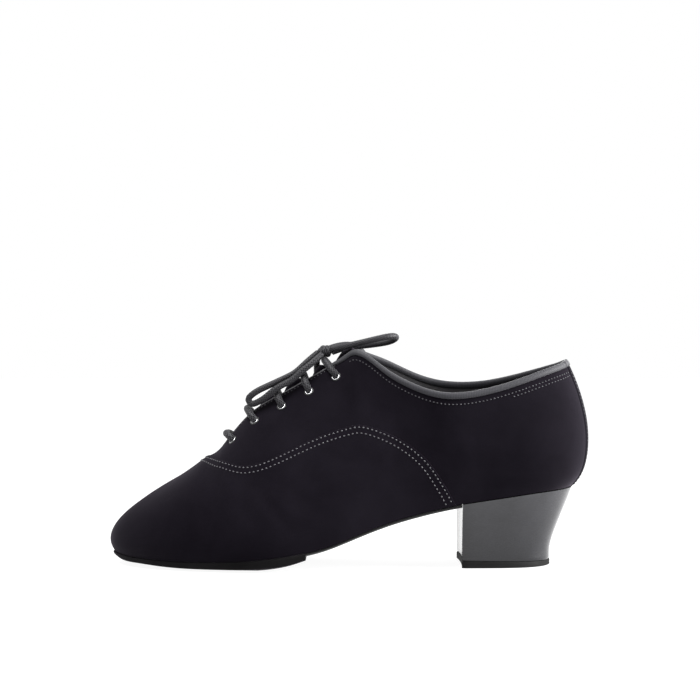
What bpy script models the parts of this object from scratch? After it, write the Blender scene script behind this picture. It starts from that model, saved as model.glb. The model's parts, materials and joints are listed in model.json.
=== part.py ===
"""Ballroom dance shoe: a left men's oxford with a Cuban heel, standing empty on its sole.

Metres, +Z up. The toe points to -X, the heel to +X, the outer (lateral) side to -Y.
Z = 0 is the floor. The upper is one surface function: ribs run from the feather edge, where
the upper meets the sole, to its top edge, which is the ridge over the toes, then the edge of
the lacing, then the collar. Everything that lies on or in the upper is read from that function.
"""

import functools
import math

import bmesh
import bpy
import numpy as np
from mathutils import Vector

# Driving sizes
LENGTH = 0.2825
BALL_WIDTH = 0.098
INSTEP_HEIGHT = 0.1252
HEEL_HEIGHT = 0.0457
TOE_OVERHANG = 0.0030
BACK_OVERHANG = 0.0098
TOE_SWING = 0.0050
WALL = 0.0018
STEP = 0.0005
GAP = 0.0003

SOLE_LIP = 0.0006
SOLE_ROUNDING = 0.0055
SOLE_FLAT_INSET = 0.0132
SOLE_RIBS = 22
SOLE_FIRST_RIB = 0.012
TREAD_SHARE = 0.423
WAIST_THICKNESS = 0.0021
WAIST_INSET = 0.0012
WAIST_RIBS = 15
HEEL_BREAST = 0.0655
HEEL_LAST_RIB = 0.993
HEEL_RIBS = 12
TOP_PIECE_HEIGHT = 0.0042
TOP_PIECE_SLOPE = 0.0012
INSOLE_THICKNESS = 0.0025
INSOLE_GAP = 0.0006
INSOLE_ENDS = (0.075, 0.93)
INSOLE_RIBS = 30
TONGUE_THICKNESS = 0.0024
TONGUE_GAP = 0.0009
TONGUE_REACH = (0.016, 0.010, 0.005, 0.001)
TONGUE_CROWN = -0.0006
TONGUE_CROWN_RIBS = 0.025

BINDING_THICKNESS = 0.0006
BINDING_DEPTH = 0.0034
BINDING_GAP = 0.0005
BACK_STRIP_WIDTH = 0.0068
EYELETS = 5
EYELET_SPACING = 0.0184
FIRST_EYELET = 0.0110
EYELET_SETBACK = 0.0100
EYELET_RADIUS = 0.0029
EYELET_BORE = 0.0018
EYELET_HOLE = 0.0025
EYELET_FLANGE = 0.0004
EYELET_SEAT = 0.00045
EYELET_SIDES = 12
LACE = 0.0034
BAR_STOPS = (0.89, 0.60, 0.25)
BAR_LEANS = (0.0034, 0.0030, 0.0018, 0.0018, 0.0045)
KNOT_HALVES = (1.15, 1.50, 0.95)

TOE_X = -0.5 * LENGTH
BACK_X = 0.5 * LENGTH
FEATHER_TOE_X = TOE_X + TOE_OVERHANG
FEATHER_BACK_X = BACK_X - BACK_OVERHANG
FEATHER_LENGTH = FEATHER_BACK_X - FEATHER_TOE_X
TREAD_END = FEATHER_TOE_X + TREAD_SHARE * FEATHER_LENGTH

LATERAL = -1
MEDIAL = 1
THROAT = 0.34
PEAK = 0.535
BACK_STRIP_START = 1 - BACK_STRIP_WIDTH / (math.pi * 0.5 * BALL_WIDTH)

# The feather edge. Columns: share of the feather's length from the toe; half widths on the
# lateral and the medial side as shares of the ball width.
OUTLINE = (
    (0.000, 0.000, 0.000),
    (0.045, 0.215, 0.215),
    (0.097, 0.312, 0.312),
    (0.149, 0.370, 0.376),
    (0.201, 0.408, 0.418),
    (0.253, 0.434, 0.440),
    (0.305, 0.452, 0.442),
    (0.368, 0.458, 0.414),
    (0.462, 0.434, 0.340),
    (0.566, 0.382, 0.280),
    (0.670, 0.336, 0.272),
    (0.774, 0.314, 0.294),
    (0.879, 0.300, 0.300),
    (0.952, 0.234, 0.234),
    (1.000, 0.000, 0.000),
)

# Height of the feather edge. Columns: share of the feather's length; share of the heel height.
RISE = (
    (0.000, 0.166),
    (0.035, 0.138),
    (0.078, 0.124),
    (0.135, 0.118),
    (0.191, 0.121),
    (0.265, 0.135),
    (0.335, 0.168),
    (0.406, 0.228),
    (0.459, 0.297),
    (0.526, 0.442),
    (0.594, 0.590),
    (0.661, 0.702),
    (0.728, 0.790),
    (0.834, 0.888),
    (0.912, 0.952),
    (1.000, 1.000),
)

# The top edge, on the ridge up to the throat, then along the facing and the collar. Columns:
# rib; share of the length from the toe; heights on the two sides as shares of the instep
# height; distances from the middle on the two sides as shares of the ball width. The last
# row mirrors the one before the back seam, which rounds the collar there.
TOP_EDGE = (
    (0.000, 0.1390, 0.400, 0.400, 0.000, 0.000),
    (0.100, 0.1585, 0.427, 0.427, 0.000, 0.000),
    (0.200, 0.1870, 0.473, 0.473, 0.000, 0.000),
    (0.280, 0.2120, 0.512, 0.512, 0.000, 0.000),
    (0.340, 0.2370, 0.556, 0.556, 0.000, 0.000),
    (0.370, 0.2600, 0.622, 0.622, 0.036, 0.036),
    (0.410, 0.3040, 0.725, 0.725, 0.054, 0.054),
    (0.450, 0.3640, 0.806, 0.806, 0.064, 0.064),
    (0.490, 0.4440, 0.909, 0.909, 0.078, 0.078),
    (0.515, 0.4900, 0.972, 0.974, 0.096, 0.096),
    (0.535, 0.5100, 1.000, 1.004, 0.128, 0.128),
    (0.560, 0.5360, 0.982, 0.990, 0.170, 0.168),
    (0.600, 0.5790, 0.908, 0.952, 0.238, 0.232),
    (0.640, 0.6300, 0.845, 0.898, 0.300, 0.288),
    (0.700, 0.7020, 0.803, 0.849, 0.344, 0.330),
    (0.760, 0.7800, 0.822, 0.846, 0.316, 0.312),
    (0.820, 0.8520, 0.869, 0.877, 0.266, 0.266),
    (0.880, 0.9110, 0.915, 0.915, 0.192, 0.192),
    (0.940, 0.9450, 0.941, 0.941, 0.098, 0.098),
    (1.000, 0.9555, 0.954, 0.954, 0.000, 0.000),
    (1.060, 0.9450, 0.941, 0.941, -0.098, -0.098),
)

# How each rib leaves the feather edge and meets the top edge. Columns: rib; lean outward at
# the foot in degrees on the two sides; reach of the foot handle as a share of the rib's chord;
# heading of the top edge's outward side in degrees, 90 being straight back; slope of the wall
# at the top edge in degrees below level; reach of the top handle as a share of the chord.
RIBS = (
    (0.000, 37, 37, 0.290, 0, 0, 0.500),
    (0.100, 37, 37, 0.300, 0, 0, 0.480),
    (0.200, 34, 35, 0.310, 0, 0, 0.450),
    (0.280, 31, 33, 0.320, 0, 0, 0.440),
    (0.340, 27, 31, 0.330, 0, 0, 0.420),
    (0.370, 25, 31, 0.340, 0, 20, 0.380),
    (0.410, 20, 32, 0.350, 0, 33, 0.340),
    (0.450, 15, 32, 0.360, 0, 40, 0.310),
    (0.490, 11, 30, 0.370, 0, 46, 0.290),
    (0.535, 9, 27, 0.380, 2, 62, 0.290),
    (0.600, 9, 22, 0.370, 6, 80, 0.320),
    (0.700, 13, 15, 0.350, 12, 86, 0.340),
    (0.760, 19, 19, 0.330, 20, 84, 0.350),
    (0.820, 28, 28, 0.310, 34, 79, 0.370),
    (0.880, 38, 38, 0.290, 52, 72, 0.390),
    (0.940, 47, 47, 0.275, 71, 65, 0.410),
    (1.000, 51, 51, 0.268, 90, 62, 0.418),
    (1.060, 47, 47, 0.275, 109, 65, 0.410),
)

# The wing seam, seen from the side. Columns: share of the length from the toe; share of the
# instep height.
WING_SEAM = (
    (0.205, 0.526),
    (0.240, 0.502),
    (0.266, 0.484),
    (0.290, 0.477),
    (0.318, 0.488),
    (0.344, 0.510),
    (0.394, 0.562),
    (0.447, 0.615),
    (0.498, 0.652),
    (0.520, 0.661),
    (0.540, 0.655),
    (0.576, 0.627),
    (0.611, 0.587),
    (0.640, 0.541),
    (0.668, 0.476),
    (0.690, 0.402),
    (0.711, 0.320),
    (0.722, 0.270),
)

# The sole's lower edge under the forefoot. Columns: share of the forefoot sole's length from
# the toe; height of its edge and of its middle as shares of the heel height. The sole is flat
# on the floor wherever its middle would be below zero.
TREAD = (
    (0.000, 0.128, 0.106),
    (0.050, 0.082, 0.058),
    (0.140, 0.061, 0.026),
    (0.260, 0.046, 0.008),
    (0.380, 0.035, -0.004),
    (0.500, 0.033, -0.006),
    (0.620, 0.036, -0.006),
    (0.730, 0.047, -0.004),
    (0.850, 0.068, 0.024),
    (0.930, 0.104, 0.066),
    (1.000, 0.155, 0.124),
)

# The heel's back line and waist. Columns: share of the heel's height from the top piece up;
# length behind the breast and half width as shares of those at the seat.
HEEL_SHAPE = (
    (0.00, 0.800, 0.785),
    (0.14, 0.802, 0.785),
    (0.30, 0.826, 0.800),
    (0.52, 0.878, 0.842),
    (0.75, 0.938, 0.905),
    (0.90, 0.976, 0.960),
    (1.00, 1.000, 1.000),
)

# The bow, as points over the throat. Columns: X; Y; Z.
LOOP_FRONT = (
    (-0.0179, -0.0003, 0.1238),
    (-0.0212, -0.0025, 0.1211),
    (-0.0259, -0.0049, 0.1169),
    (-0.0311, -0.0064, 0.1123),
    (-0.0365, -0.0074, 0.1093),
    (-0.0417, -0.0083, 0.1069),
    (-0.0470, -0.0089, 0.1045),
    (-0.0522, -0.0092, 0.1020),
    (-0.0564, -0.0090, 0.0992),
    (-0.0582, -0.0086, 0.0965),
    (-0.0570, -0.0089, 0.0944),
    (-0.0530, -0.0099, 0.0950),
    (-0.0486, -0.0112, 0.0977),
    (-0.0436, -0.0118, 0.1018),
    (-0.0380, -0.0117, 0.1053),
    (-0.0330, -0.0114, 0.1080),
    (-0.0280, -0.0110, 0.1122),
    (-0.0220, -0.0097, 0.1172),
    (-0.0179, -0.0070, 0.1207),
    (-0.0156, -0.0045, 0.1227),
)
LOOP_BACK = (
    (-0.0094, -0.0020, 0.1259),
    (-0.0040, -0.0050, 0.1271),
    (0.0030, -0.0076, 0.1287),
    (0.0110, -0.0090, 0.1306),
    (0.0195, -0.0086, 0.1326),
    (0.0260, -0.0054, 0.1336),
    (0.0281, -0.0004, 0.1328),
    (0.0258, 0.0040, 0.1310),
    (0.0190, 0.0066, 0.1294),
    (0.0105, 0.0074, 0.1283),
    (0.0025, 0.0062, 0.1275),
    (-0.0040, 0.0044, 0.1262),
    (-0.0093, 0.0019, 0.1244),
)
END_FRONT = (
    (-0.0160, 0.0052, 0.1254),
    (-0.0180, 0.0082, 0.1222),
    (-0.0187, 0.0096, 0.1178),
    (-0.0187, 0.0113, 0.1128),
    (-0.0187, 0.0155, 0.1070),
    (-0.0197, 0.0203, 0.0992),
    (-0.0226, 0.0246, 0.0912),
    (-0.0266, 0.0284, 0.0823),
    (-0.0310, 0.0323, 0.0737),
    (-0.0357, 0.0363, 0.0648),
    (-0.0393, 0.0401, 0.0567),
)
END_BACK = (
    (-0.0113, 0.0045, 0.1263),
    (-0.0075, 0.0095, 0.1276),
    (-0.0020, 0.0135, 0.1286),
    (0.0045, 0.0180, 0.1276),
    (0.0092, 0.0212, 0.1230),
    (0.0115, 0.0226, 0.1169),
    (0.0125, 0.0246, 0.1095),
    (0.0132, 0.0271, 0.1015),
    (0.0134, 0.0299, 0.0924),
    (0.0135, 0.0324, 0.0835),
    (0.0125, 0.0348, 0.0741),
)
KNOT_CENTRE = (-0.0132, 0.0000, 0.1248)

RIB_STOPS = tuple(np.linspace(0, 1, 41))
RIB_ROWS = 12
QUARTER_RIBS = 34
TONGUE_RIBS = 15


@functools.lru_cache(maxsize=None)
def bends(table, column):
    """Knots, values and second derivatives of the natural cubic spline through a column."""
    rows = np.array(table, float)
    known, values = rows[:, 0], rows[:, column]
    widths = np.diff(known)
    slopes = np.diff(values) / widths
    count = len(known)
    matrix = np.eye(count)
    right = np.zeros(count)
    for i in range(1, count - 1):
        matrix[i, i - 1:i + 2] = widths[i - 1], 2 * (widths[i - 1] + widths[i]), widths[i]
        right[i] = 6 * (slopes[i] - slopes[i - 1])
    return known, values, np.linalg.solve(matrix, right)


def spline(table, column, at):
    """Natural cubic spline through one column of a table."""
    known, values, bend = bends(table, column)
    i = int(np.clip(np.searchsorted(known, at) - 1, 0, len(known) - 2))
    width, ahead, behind = known[i + 1] - known[i], known[i + 1] - at, at - known[i]
    curved = (bend[i] * ahead**3 + bend[i + 1] * behind**3) / (6 * width)
    before = (values[i] / width - bend[i] * width / 6) * ahead
    return curved + before + (values[i + 1] / width - bend[i + 1] * width / 6) * behind


def along(rib):
    """Share of the feather's length at a rib: the ribs crowd at both ends, which rounds them."""
    return 0.5 * (1 - math.cos(math.pi * rib))


def rib_at(x):
    share = np.clip((x - FEATHER_TOE_X) / FEATHER_LENGTH, 0, 1)
    return math.acos(1 - 2 * share) / math.pi


OUTLINE_BY_RIB = tuple((rib_at(FEATHER_TOE_X + share * FEATHER_LENGTH), a, b) for share, a, b in OUTLINE)


def swing(share):
    """The toe turns towards the big toe, as the foot does."""
    return TOE_SWING * max(0.0, 1 - share / 0.32) ** 2


def feather_height(x):
    share = np.clip((x - FEATHER_TOE_X) / FEATHER_LENGTH, 0, 1)
    return HEEL_HEIGHT * spline(RISE, 1, share)


def feather(rib, side, inset=0.0):
    """A point of the feather edge, moved inward in plan by the inset."""
    share = along(rib)
    x = FEATHER_TOE_X + share * FEATHER_LENGTH
    half = BALL_WIDTH * spline(OUTLINE_BY_RIB, 1 if side == LATERAL else 2, rib)
    point = np.array((x, side * half + swing(share), 0.0))
    if inset:
        point -= inset * outward(rib, side)
    point[2] = feather_height(point[0])
    return point


def outward(rib, side):
    """Level direction out of the shoe, square to the feather edge."""
    low, high = max(0.0, rib - 0.004), min(1.0, rib + 0.004)
    run = feather(high, side) - feather(low, side)
    if low == 0.0:
        run[1] = feather(high, side)[1] - feather(high, -side)[1]
        run[0] = 0.0
    if high == 1.0:
        run[1] = feather(low, -side)[1] - feather(low, side)[1]
        run[0] = 0.0
    normal = np.array((run[1], -run[0], 0.0)) * -side
    return normal / np.linalg.norm(normal)


def top_edge(rib, side):
    lateral = side == LATERAL
    x = TOE_X + LENGTH * spline(TOP_EDGE, 1, rib)
    z = INSTEP_HEIGHT * spline(TOP_EDGE, 2 if lateral else 3, rib)
    away = 0.0 if rib <= THROAT else max(0.0, spline(TOP_EDGE, 4 if lateral else 5, rib))
    return np.array((x, side * BALL_WIDTH * away, z))


def top_direction(rib, side):
    """Direction in which the wall runs down and out from the top edge."""
    heading = math.radians(spline(RIBS, 4, rib))
    slope = math.radians(max(0.0, spline(RIBS, 5, rib)))
    away = np.array((math.sin(heading), side * math.cos(heading), 0.0))
    direction = away * math.cos(slope) - np.array((0, 0, 1.0)) * math.sin(slope)
    if rib < THROAT:
        turn = 0.5 * math.pi * rib / THROAT
        ridge = top_edge(rib + 0.01, side) - top_edge(max(0.0, rib - 0.01), side)
        ridge /= np.linalg.norm(ridge)
        direction = -ridge * math.cos(turn) + np.array((0, side, 0)) * math.sin(turn)
    return direction / np.linalg.norm(direction)


def skin(rib, share, side):
    """A point of the outside of the upper: share 0 at the feather edge, 1 at the top edge."""
    foot, top = feather(rib, side), top_edge(rib, side)
    chord = np.linalg.norm(top - foot)
    lean = math.radians(spline(RIBS, 1 if side == LATERAL else 2, rib))
    rise = outward(rib, side) * math.sin(lean) + np.array((0, 0, 1.0)) * math.cos(lean)
    low = foot + rise * chord * spline(RIBS, 3, rib)
    high = top + top_direction(rib, side) * chord * spline(RIBS, 6, rib)
    rest = 1 - share
    return foot * rest**3 + 3 * low * rest**2 * share + 3 * high * rest * share**2 + top * share**3


def skin_frame(rib, share, side):
    """A point of the skin, its outward normal and its direction up the rib."""
    point = skin(rib, share, side)
    up = skin(rib, share + 0.01, side) - skin(rib, share - 0.01, side)
    up /= np.linalg.norm(up)
    if rib < 0.003:
        run = np.array((0, side, 0.0))
    elif rib > 0.997:
        run = np.array((0, -side, 0.0))
    else:
        run = skin(rib + 0.003, share, side) - skin(rib - 0.003, share, side)
    normal = np.cross(run, up) * -side
    return point, normal / np.linalg.norm(normal), up


def raised(rib, share, side, offset):
    """A point at a distance outside the skin, or inside it for a negative offset."""
    point, normal, _ = skin_frame(rib, share, side)
    return point + offset * normal


def share_below_edge(rib, side, distance):
    """Share up the rib of the point at a distance below its top edge."""
    shares = np.linspace(1, 0, 61)
    points = [skin(rib, share, side) for share in shares]
    lengths = np.concatenate(([0], np.cumsum([np.linalg.norm(b - a) for a, b in zip(points, points[1:])])))
    return float(np.interp(distance, lengths, shares))


def rib_on_facing(distance):
    """Rib at a distance up the facing's edge from the throat."""
    ribs = np.linspace(THROAT, PEAK, 80)
    points = [top_edge(rib, LATERAL) for rib in ribs]
    lengths = np.concatenate(([0], np.cumsum([np.linalg.norm(b - a) for a, b in zip(points, points[1:])])))
    return float(np.interp(distance, lengths, ribs))


def share_on_seam(rib, side):
    """Share up the rib at which it crosses the wing seam, or below the feather behind the seam."""
    shares = np.linspace(0, 1, 81)
    for share in shares:
        point = skin(rib, share, side)
        along_length = (point[0] - TOE_X) / LENGTH
        if along_length > WING_SEAM[-1][0]:
            return -0.02
        seam = spline(WING_SEAM, 1, max(along_length, WING_SEAM[0][0])) * INSTEP_HEIGHT
        if along_length >= WING_SEAM[0][0] and point[2] >= seam:
            return float(share)
    return 1.02


def material(name, colour, roughness, metallic=0.0):
    made = bpy.data.materials.new(name)
    made.use_nodes = True
    shader = made.node_tree.nodes["Principled BSDF"]
    shader.inputs["Base Color"].default_value = (*colour, 1)
    shader.inputs["Roughness"].default_value = roughness
    shader.inputs["Metallic"].default_value = metallic
    return made


def add(name, mesh, finish, collection):
    made = bpy.data.objects.new(name, mesh)
    collection.objects.link(made)
    if finish:
        mesh.materials.append(finish)
    mesh.shade_smooth()
    mesh.set_sharp_from_angle(angle=math.radians(35))
    return made


def modified(made, kind, **settings):
    modifier = made.modifiers.new(kind.title(), kind)
    for name, value in settings.items():
        setattr(modifier, name, value)
    return modifier


def grid_mesh(name, rows, closed_rows=False, caps=False, merge=0.0):
    """Mesh over rows of points; closed rows are rings, and caps close the first and last ring."""
    build = bmesh.new()
    lines = [[build.verts.new(point) for point in row] for row in rows]
    for line, after in zip(lines, lines[1:]):
        last = len(line) if closed_rows else len(line) - 1
        for i in range(last):
            j = (i + 1) % len(line)
            build.faces.new((line[i], line[j], after[j], after[i]))
    if caps:
        for line in (lines[0], lines[-1]):
            half = len(line) // 2
            for i in range(half - 1):
                build.faces.new((line[i], line[i + 1], line[-i - 2], line[-i - 1]))
    if merge:
        bmesh.ops.remove_doubles(build, verts=build.verts, dist=merge)
        bmesh.ops.dissolve_degenerate(build, edges=build.edges, dist=merge)
    bmesh.ops.recalc_face_normals(build, faces=build.faces)
    if build.calc_volume(signed=True) < 0:
        bmesh.ops.reverse_faces(build, faces=build.faces)
    mesh = bpy.data.meshes.new(name)
    build.to_mesh(mesh)
    build.free()
    return mesh


def recess_cutter(side, cutters):
    """Solid over the quarter: it takes the wall down by one step behind the wing seam."""
    rows = []
    for rib in np.linspace(THROAT - 0.004, BACK_STRIP_START, QUARTER_RIBS):
        start = share_on_seam(rib, side)
        if start > 0.96:
            continue
        shares = np.linspace(start, 1.03, 11)
        rows.append([raised(rib, share, side, -STEP) for share in shares]
                    + [raised(rib, share, side, 2 * STEP) for share in shares[::-1]])
    name = "cut_quarter_" + ("lateral" if side == LATERAL else "medial")
    cutter = add(name, grid_mesh(name, rows, closed_rows=True, caps=True), None, cutters)
    cutter.hide_render = True
    cutter.display_type = "WIRE"
    return cutter


def eyelet_places():
    for side in (LATERAL, MEDIAL):
        for k in range(EYELETS):
            rib = rib_on_facing(FIRST_EYELET + k * EYELET_SPACING)
            share = share_below_edge(rib, side, EYELET_SETBACK)
            yield side, k + 1, rib, share


def upper(parts, cutters, finish):
    around = [(rib, LATERAL) for rib in RIB_STOPS] + [(rib, MEDIAL) for rib in RIB_STOPS[-2:0:-1]]
    around.append(around[0])
    shares = np.linspace(0, 1, RIB_ROWS)
    rows = [[skin(rib, share, side) for share in shares] for rib, side in around]
    shell = add("upper", grid_mesh("upper", rows, merge=0.00005), finish, parts)
    modified(shell, "SOLIDIFY", thickness=WALL, offset=-1, use_even_offset=True)
    for side in (LATERAL, MEDIAL):
        modified(shell, "BOOLEAN", operation="DIFFERENCE", object=recess_cutter(side, cutters))
    for side, number, rib, share in eyelet_places():
        point, normal, _ = skin_frame(rib, share, side)
        build = bmesh.new()
        bmesh.ops.create_cone(build, cap_ends=True, segments=EYELET_SIDES, depth=4 * WALL,
                              radius1=EYELET_HOLE, radius2=EYELET_HOLE)
        mesh = bpy.data.meshes.new("cut_eyelet")
        build.to_mesh(mesh)
        build.free()
        cutter = add(f"cut_eyelet_{side}_{number}", mesh, None, cutters)
        cutter.location = point
        cutter.rotation_mode = "QUATERNION"
        cutter.rotation_quaternion = pointing(normal)
        cutter.hide_render = True
        cutter.display_type = "WIRE"
        modified(shell, "BOOLEAN", operation="DIFFERENCE", object=cutter)
    return shell


def pointing(normal):
    return Vector(normal).to_track_quat("Z", "Y")


def plate_ring(rib, inset, levels, square=False):
    """Ring across the shoe: each level gives an inset from the outline and a height function."""
    middle = 0.5 * (feather(rib, MEDIAL)[1] - feather(rib, LATERAL)[1])
    halves = []
    for side in (LATERAL, MEDIAL):
        half = [feather(rib, side, min(inset + more, 0.85 * middle)) for more, _ in levels]
        for point, (_, height) in zip(half, levels):
            if square:
                point[0] = feather(rib, side)[0]
            point[2] = height(point[0])
        halves.append(half)
    return halves[0] + halves[1][::-1]


def plate(name, ribs, inset, levels, cuts, finish, parts):
    """Plate that follows the feather edge, cut straight across at the ribs named as cuts."""
    rows = [plate_ring(rib, inset, levels, rib in cuts) for rib in ribs]
    mesh = grid_mesh(name, rows, closed_rows=True, caps=True)
    return add(name, mesh, finish, parts)


def insole(parts, finish):
    ribs = np.linspace(*INSOLE_ENDS, INSOLE_RIBS)
    levels = ((0.0, feather_height), (0.0, lambda x: feather_height(x) + INSOLE_THICKNESS))
    return plate("insole", ribs, WALL + INSOLE_GAP, levels, (), finish, parts)


def tread(column):
    """Height of the sole's lower side as a function of X."""
    def height(x):
        share = np.clip((x - FEATHER_TOE_X) / (TREAD_END - FEATHER_TOE_X), 0, 1)
        return max(0.0, HEEL_HEIGHT * spline(TREAD, column, share))
    return height


def outsole(parts, finish):
    edge, middle = tread(1), tread(2)
    ribs = np.linspace(SOLE_FIRST_RIB, rib_at(TREAD_END), SOLE_RIBS)
    levels = (
        (0.0, lambda x: feather_height(x) - GAP),
        (0.0, edge),
        (SOLE_ROUNDING, lambda x: 0.3 * edge(x) + 0.7 * middle(x)),
        (SOLE_FLAT_INSET, middle),
    )
    return plate("outsole", ribs, -SOLE_LIP, levels, (ribs[-1],), finish, parts)


def waist_sole(parts, finish):
    ribs = np.linspace(rib_at(TREAD_END + GAP), rib_at(HEEL_BREAST - GAP), WAIST_RIBS)
    levels = (
        (0.0, lambda x: feather_height(x) - GAP),
        (WAIST_INSET, lambda x: feather_height(x) - GAP - 0.6 * WAIST_THICKNESS),
        (3 * WAIST_INSET, lambda x: feather_height(x) - GAP - WAIST_THICKNESS),
    )
    return plate("waist_sole", ribs, 0.0, levels, (ribs[0], ribs[-1]), finish, parts)


def heel_ring(level, height):
    """A level D of the heel: straight breast, round back."""
    start = rib_at(HEEL_BREAST)
    seat_back = FEATHER_BACK_X - HEEL_BREAST
    lateral, medial = [], []
    for rib in np.linspace(start, HEEL_LAST_RIB, HEEL_RIBS):
        for side, line in ((LATERAL, lateral), (MEDIAL, medial)):
            point = feather(rib, side)
            behind = (point[0] - HEEL_BREAST) / seat_back
            x = HEEL_BREAST + seat_back * behind * spline(HEEL_SHAPE, 1, level)
            y = point[1] * spline(HEEL_SHAPE, 2, level)
            line.append(np.array((x, y, height(point[0]))))
    return lateral + medial[::-1]


def top_piece_top(x):
    back = (x - HEEL_BREAST) / (FEATHER_BACK_X - HEEL_BREAST)
    return TOP_PIECE_HEIGHT - TOP_PIECE_SLOPE * back


def heel(parts, finish):
    rows = []
    for level, *_ in HEEL_SHAPE:
        def height(x, level=level):
            bottom = top_piece_top(x) + GAP
            return bottom + level * (feather_height(x) - GAP - bottom)
        rows.append(heel_ring(level, height))
    return add("heel", grid_mesh("heel", rows, closed_rows=True, caps=True), finish, parts)


def heel_top_piece(parts, finish):
    rows = [heel_ring(0.0, lambda x: 0.0), heel_ring(0.0, top_piece_top)]
    mesh = grid_mesh("heel_top_piece", rows, closed_rows=True, caps=True)
    return add("heel_top_piece", mesh, finish, parts)


def tongue(parts, finish):
    """Padded strip under both facings, from below the throat to the peak."""
    binding_room = BINDING_THICKNESS + GAP
    rows = []
    for rib in np.linspace(THROAT - 0.02, PEAK - 0.012, TONGUE_RIBS):
        nearing = np.clip((rib - PEAK + 0.10) / 0.05, 0, 1)
        under = -(WALL + TONGUE_GAP + binding_room * nearing)
        halves = []
        for side in (LATERAL, MEDIAL):
            flank = [share_below_edge(rib, side, distance) for distance in TONGUE_REACH]
            halves.append([raised(rib, share, side, under) for share in flank])
        risen = np.clip((rib - THROAT) / TONGUE_CROWN_RIBS - 1, 0, 1)
        crown = 0.5 * (top_edge(rib, LATERAL) + top_edge(rib, MEDIAL))
        crown[2] += risen * TONGUE_CROWN + (1 - risen) * under
        rows.append(halves[0] + [crown] + halves[1][::-1])
    made = add("tongue", grid_mesh("tongue", rows), finish, parts)
    modified(made, "SOLIDIFY", thickness=TONGUE_THICKNESS, offset=-1, use_even_offset=True)
    return made


def collar_binding(parts, finish):
    """Ribbon folded over the collar edge from one peak round the back to the other."""
    ribs = [rib for rib in RIB_STOPS if rib > PEAK - 0.04]
    around = [(rib, LATERAL) for rib in ribs] + [(rib, MEDIAL) for rib in ribs[-2::-1]]
    into = -WALL - BINDING_GAP
    rows = []
    for rib, side in around:
        out = GAP if rib > BACK_STRIP_START - 0.01 else -STEP + BINDING_GAP
        section = (
            (out, BINDING_DEPTH), (out, -GAP), (into, -GAP), (into, BINDING_DEPTH),
            (into - BINDING_THICKNESS, BINDING_DEPTH),
            (into - BINDING_THICKNESS, -GAP - BINDING_THICKNESS),
            (out + BINDING_THICKNESS, -GAP - BINDING_THICKNESS),
            (out + BINDING_THICKNESS, BINDING_DEPTH),
        )
        ring = []
        _, normal, up = skin_frame(rib, 1.0, side)
        edge = top_edge(rib, side)
        for offset, depth in section:
            if depth < 0:
                ring.append(edge + offset * normal - depth * up)
            else:
                ring.append(raised(rib, share_below_edge(rib, side, depth), side, offset))
        rows.append(ring)
    mesh = closed_ends(grid_mesh("collar_binding", rows, closed_rows=True), len(rows[0]))
    return add("collar_binding", mesh, finish, parts)


def closed_ends(mesh, corners):
    """Fill the two open ends of a swept section."""
    build = bmesh.new()
    build.from_mesh(mesh)
    open_edges = [edge for edge in build.edges if edge.is_boundary]
    bmesh.ops.holes_fill(build, edges=open_edges, sides=corners + 1)
    bmesh.ops.recalc_face_normals(build, faces=build.faces)
    build.to_mesh(mesh)
    build.free()
    return mesh


def eyelet(parts, finish, side, number, rib, share):
    """Flanged ring set in its hole from the outside."""
    point, normal, _ = skin_frame(rib, share, side)
    seat = -STEP + EYELET_SEAT
    barrel = EYELET_HOLE - GAP
    profile = (
        (EYELET_BORE, seat + EYELET_FLANGE), (EYELET_RADIUS, seat + EYELET_FLANGE),
        (EYELET_RADIUS, seat), (barrel, seat), (barrel, -WALL - GAP), (EYELET_BORE, -WALL - GAP),
    )
    name = f"eyelet_{'lateral' if side == LATERAL else 'medial'}_{number}"
    build = bmesh.new()
    corners = [build.verts.new((radius, 0, z)) for radius, z in profile]
    for first, second in zip(corners, corners[1:] + corners[:1]):
        build.edges.new((first, second))
    mesh = bpy.data.meshes.new(name)
    build.to_mesh(mesh)
    build.free()
    made = bpy.data.objects.new(name, mesh)
    parts.objects.link(made)
    mesh.materials.append(finish)
    modified(made, "SCREW", steps=EYELET_SIDES, render_steps=EYELET_SIDES, axis="Z",
             use_merge_vertices=True, merge_threshold=0.00001)
    made.location = point
    made.rotation_mode = "QUATERNION"
    made.rotation_quaternion = pointing(normal)
    return made


def smooth_route(points, spacing):
    """Points at an even spacing on a smooth curve through the route's own points."""
    route = np.array(points, float)
    lengths = np.concatenate(([0], np.cumsum(np.linalg.norm(np.diff(route, axis=0), axis=1))))
    table = tuple((length, *point) for length, point in zip(lengths, points))
    count = max(4, int(round(lengths[-1] / spacing)) + 1)
    stops = np.linspace(0, lengths[-1], count)
    return [[spline(table, axis, at) for axis in (1, 2, 3)] for at in stops]


def cord(name, points, parts, finish, spacing=2 * LACE):
    curve = bpy.data.curves.new(name, "CURVE")
    curve.dimensions = "3D"
    curve.bevel_depth = 0.5 * LACE
    curve.bevel_resolution = 2
    curve.use_fill_caps = True
    route = smooth_route(points, spacing)
    line = curve.splines.new("POLY")
    line.points.add(len(route) - 1)
    for point, place in zip(line.points, route):
        point.co = (*place, 1)
    curve.materials.append(finish)
    made = bpy.data.objects.new(name, curve)
    parts.objects.link(made)
    return made


def lace_bar(number, parts, finish):
    """Bar over the throat, square to it, from above one eyelet to above the other.

    The ribs lean back towards the foot, so the bar leans forward from its eyelets.
    """
    eyelet_distance = FIRST_EYELET + (number - 1) * EYELET_SPACING
    clear = 0.5 * LACE + GAP + EYELET_FLANGE
    points = []
    for side in (LATERAL, MEDIAL):
        line = []
        for stop in BAR_STOPS:
            rib = rib_on_facing(eyelet_distance - BAR_LEANS[number - 1] * (1 - stop))
            share = share_below_edge(rib, side, stop * EYELET_SETBACK)
            line.append(raised(rib, share, side, clear))
        points.extend(line if side == LATERAL else line[::-1])
    return cord(f"lace_bar_{number}", points, parts, finish, spacing=1.2 * LACE)


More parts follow.
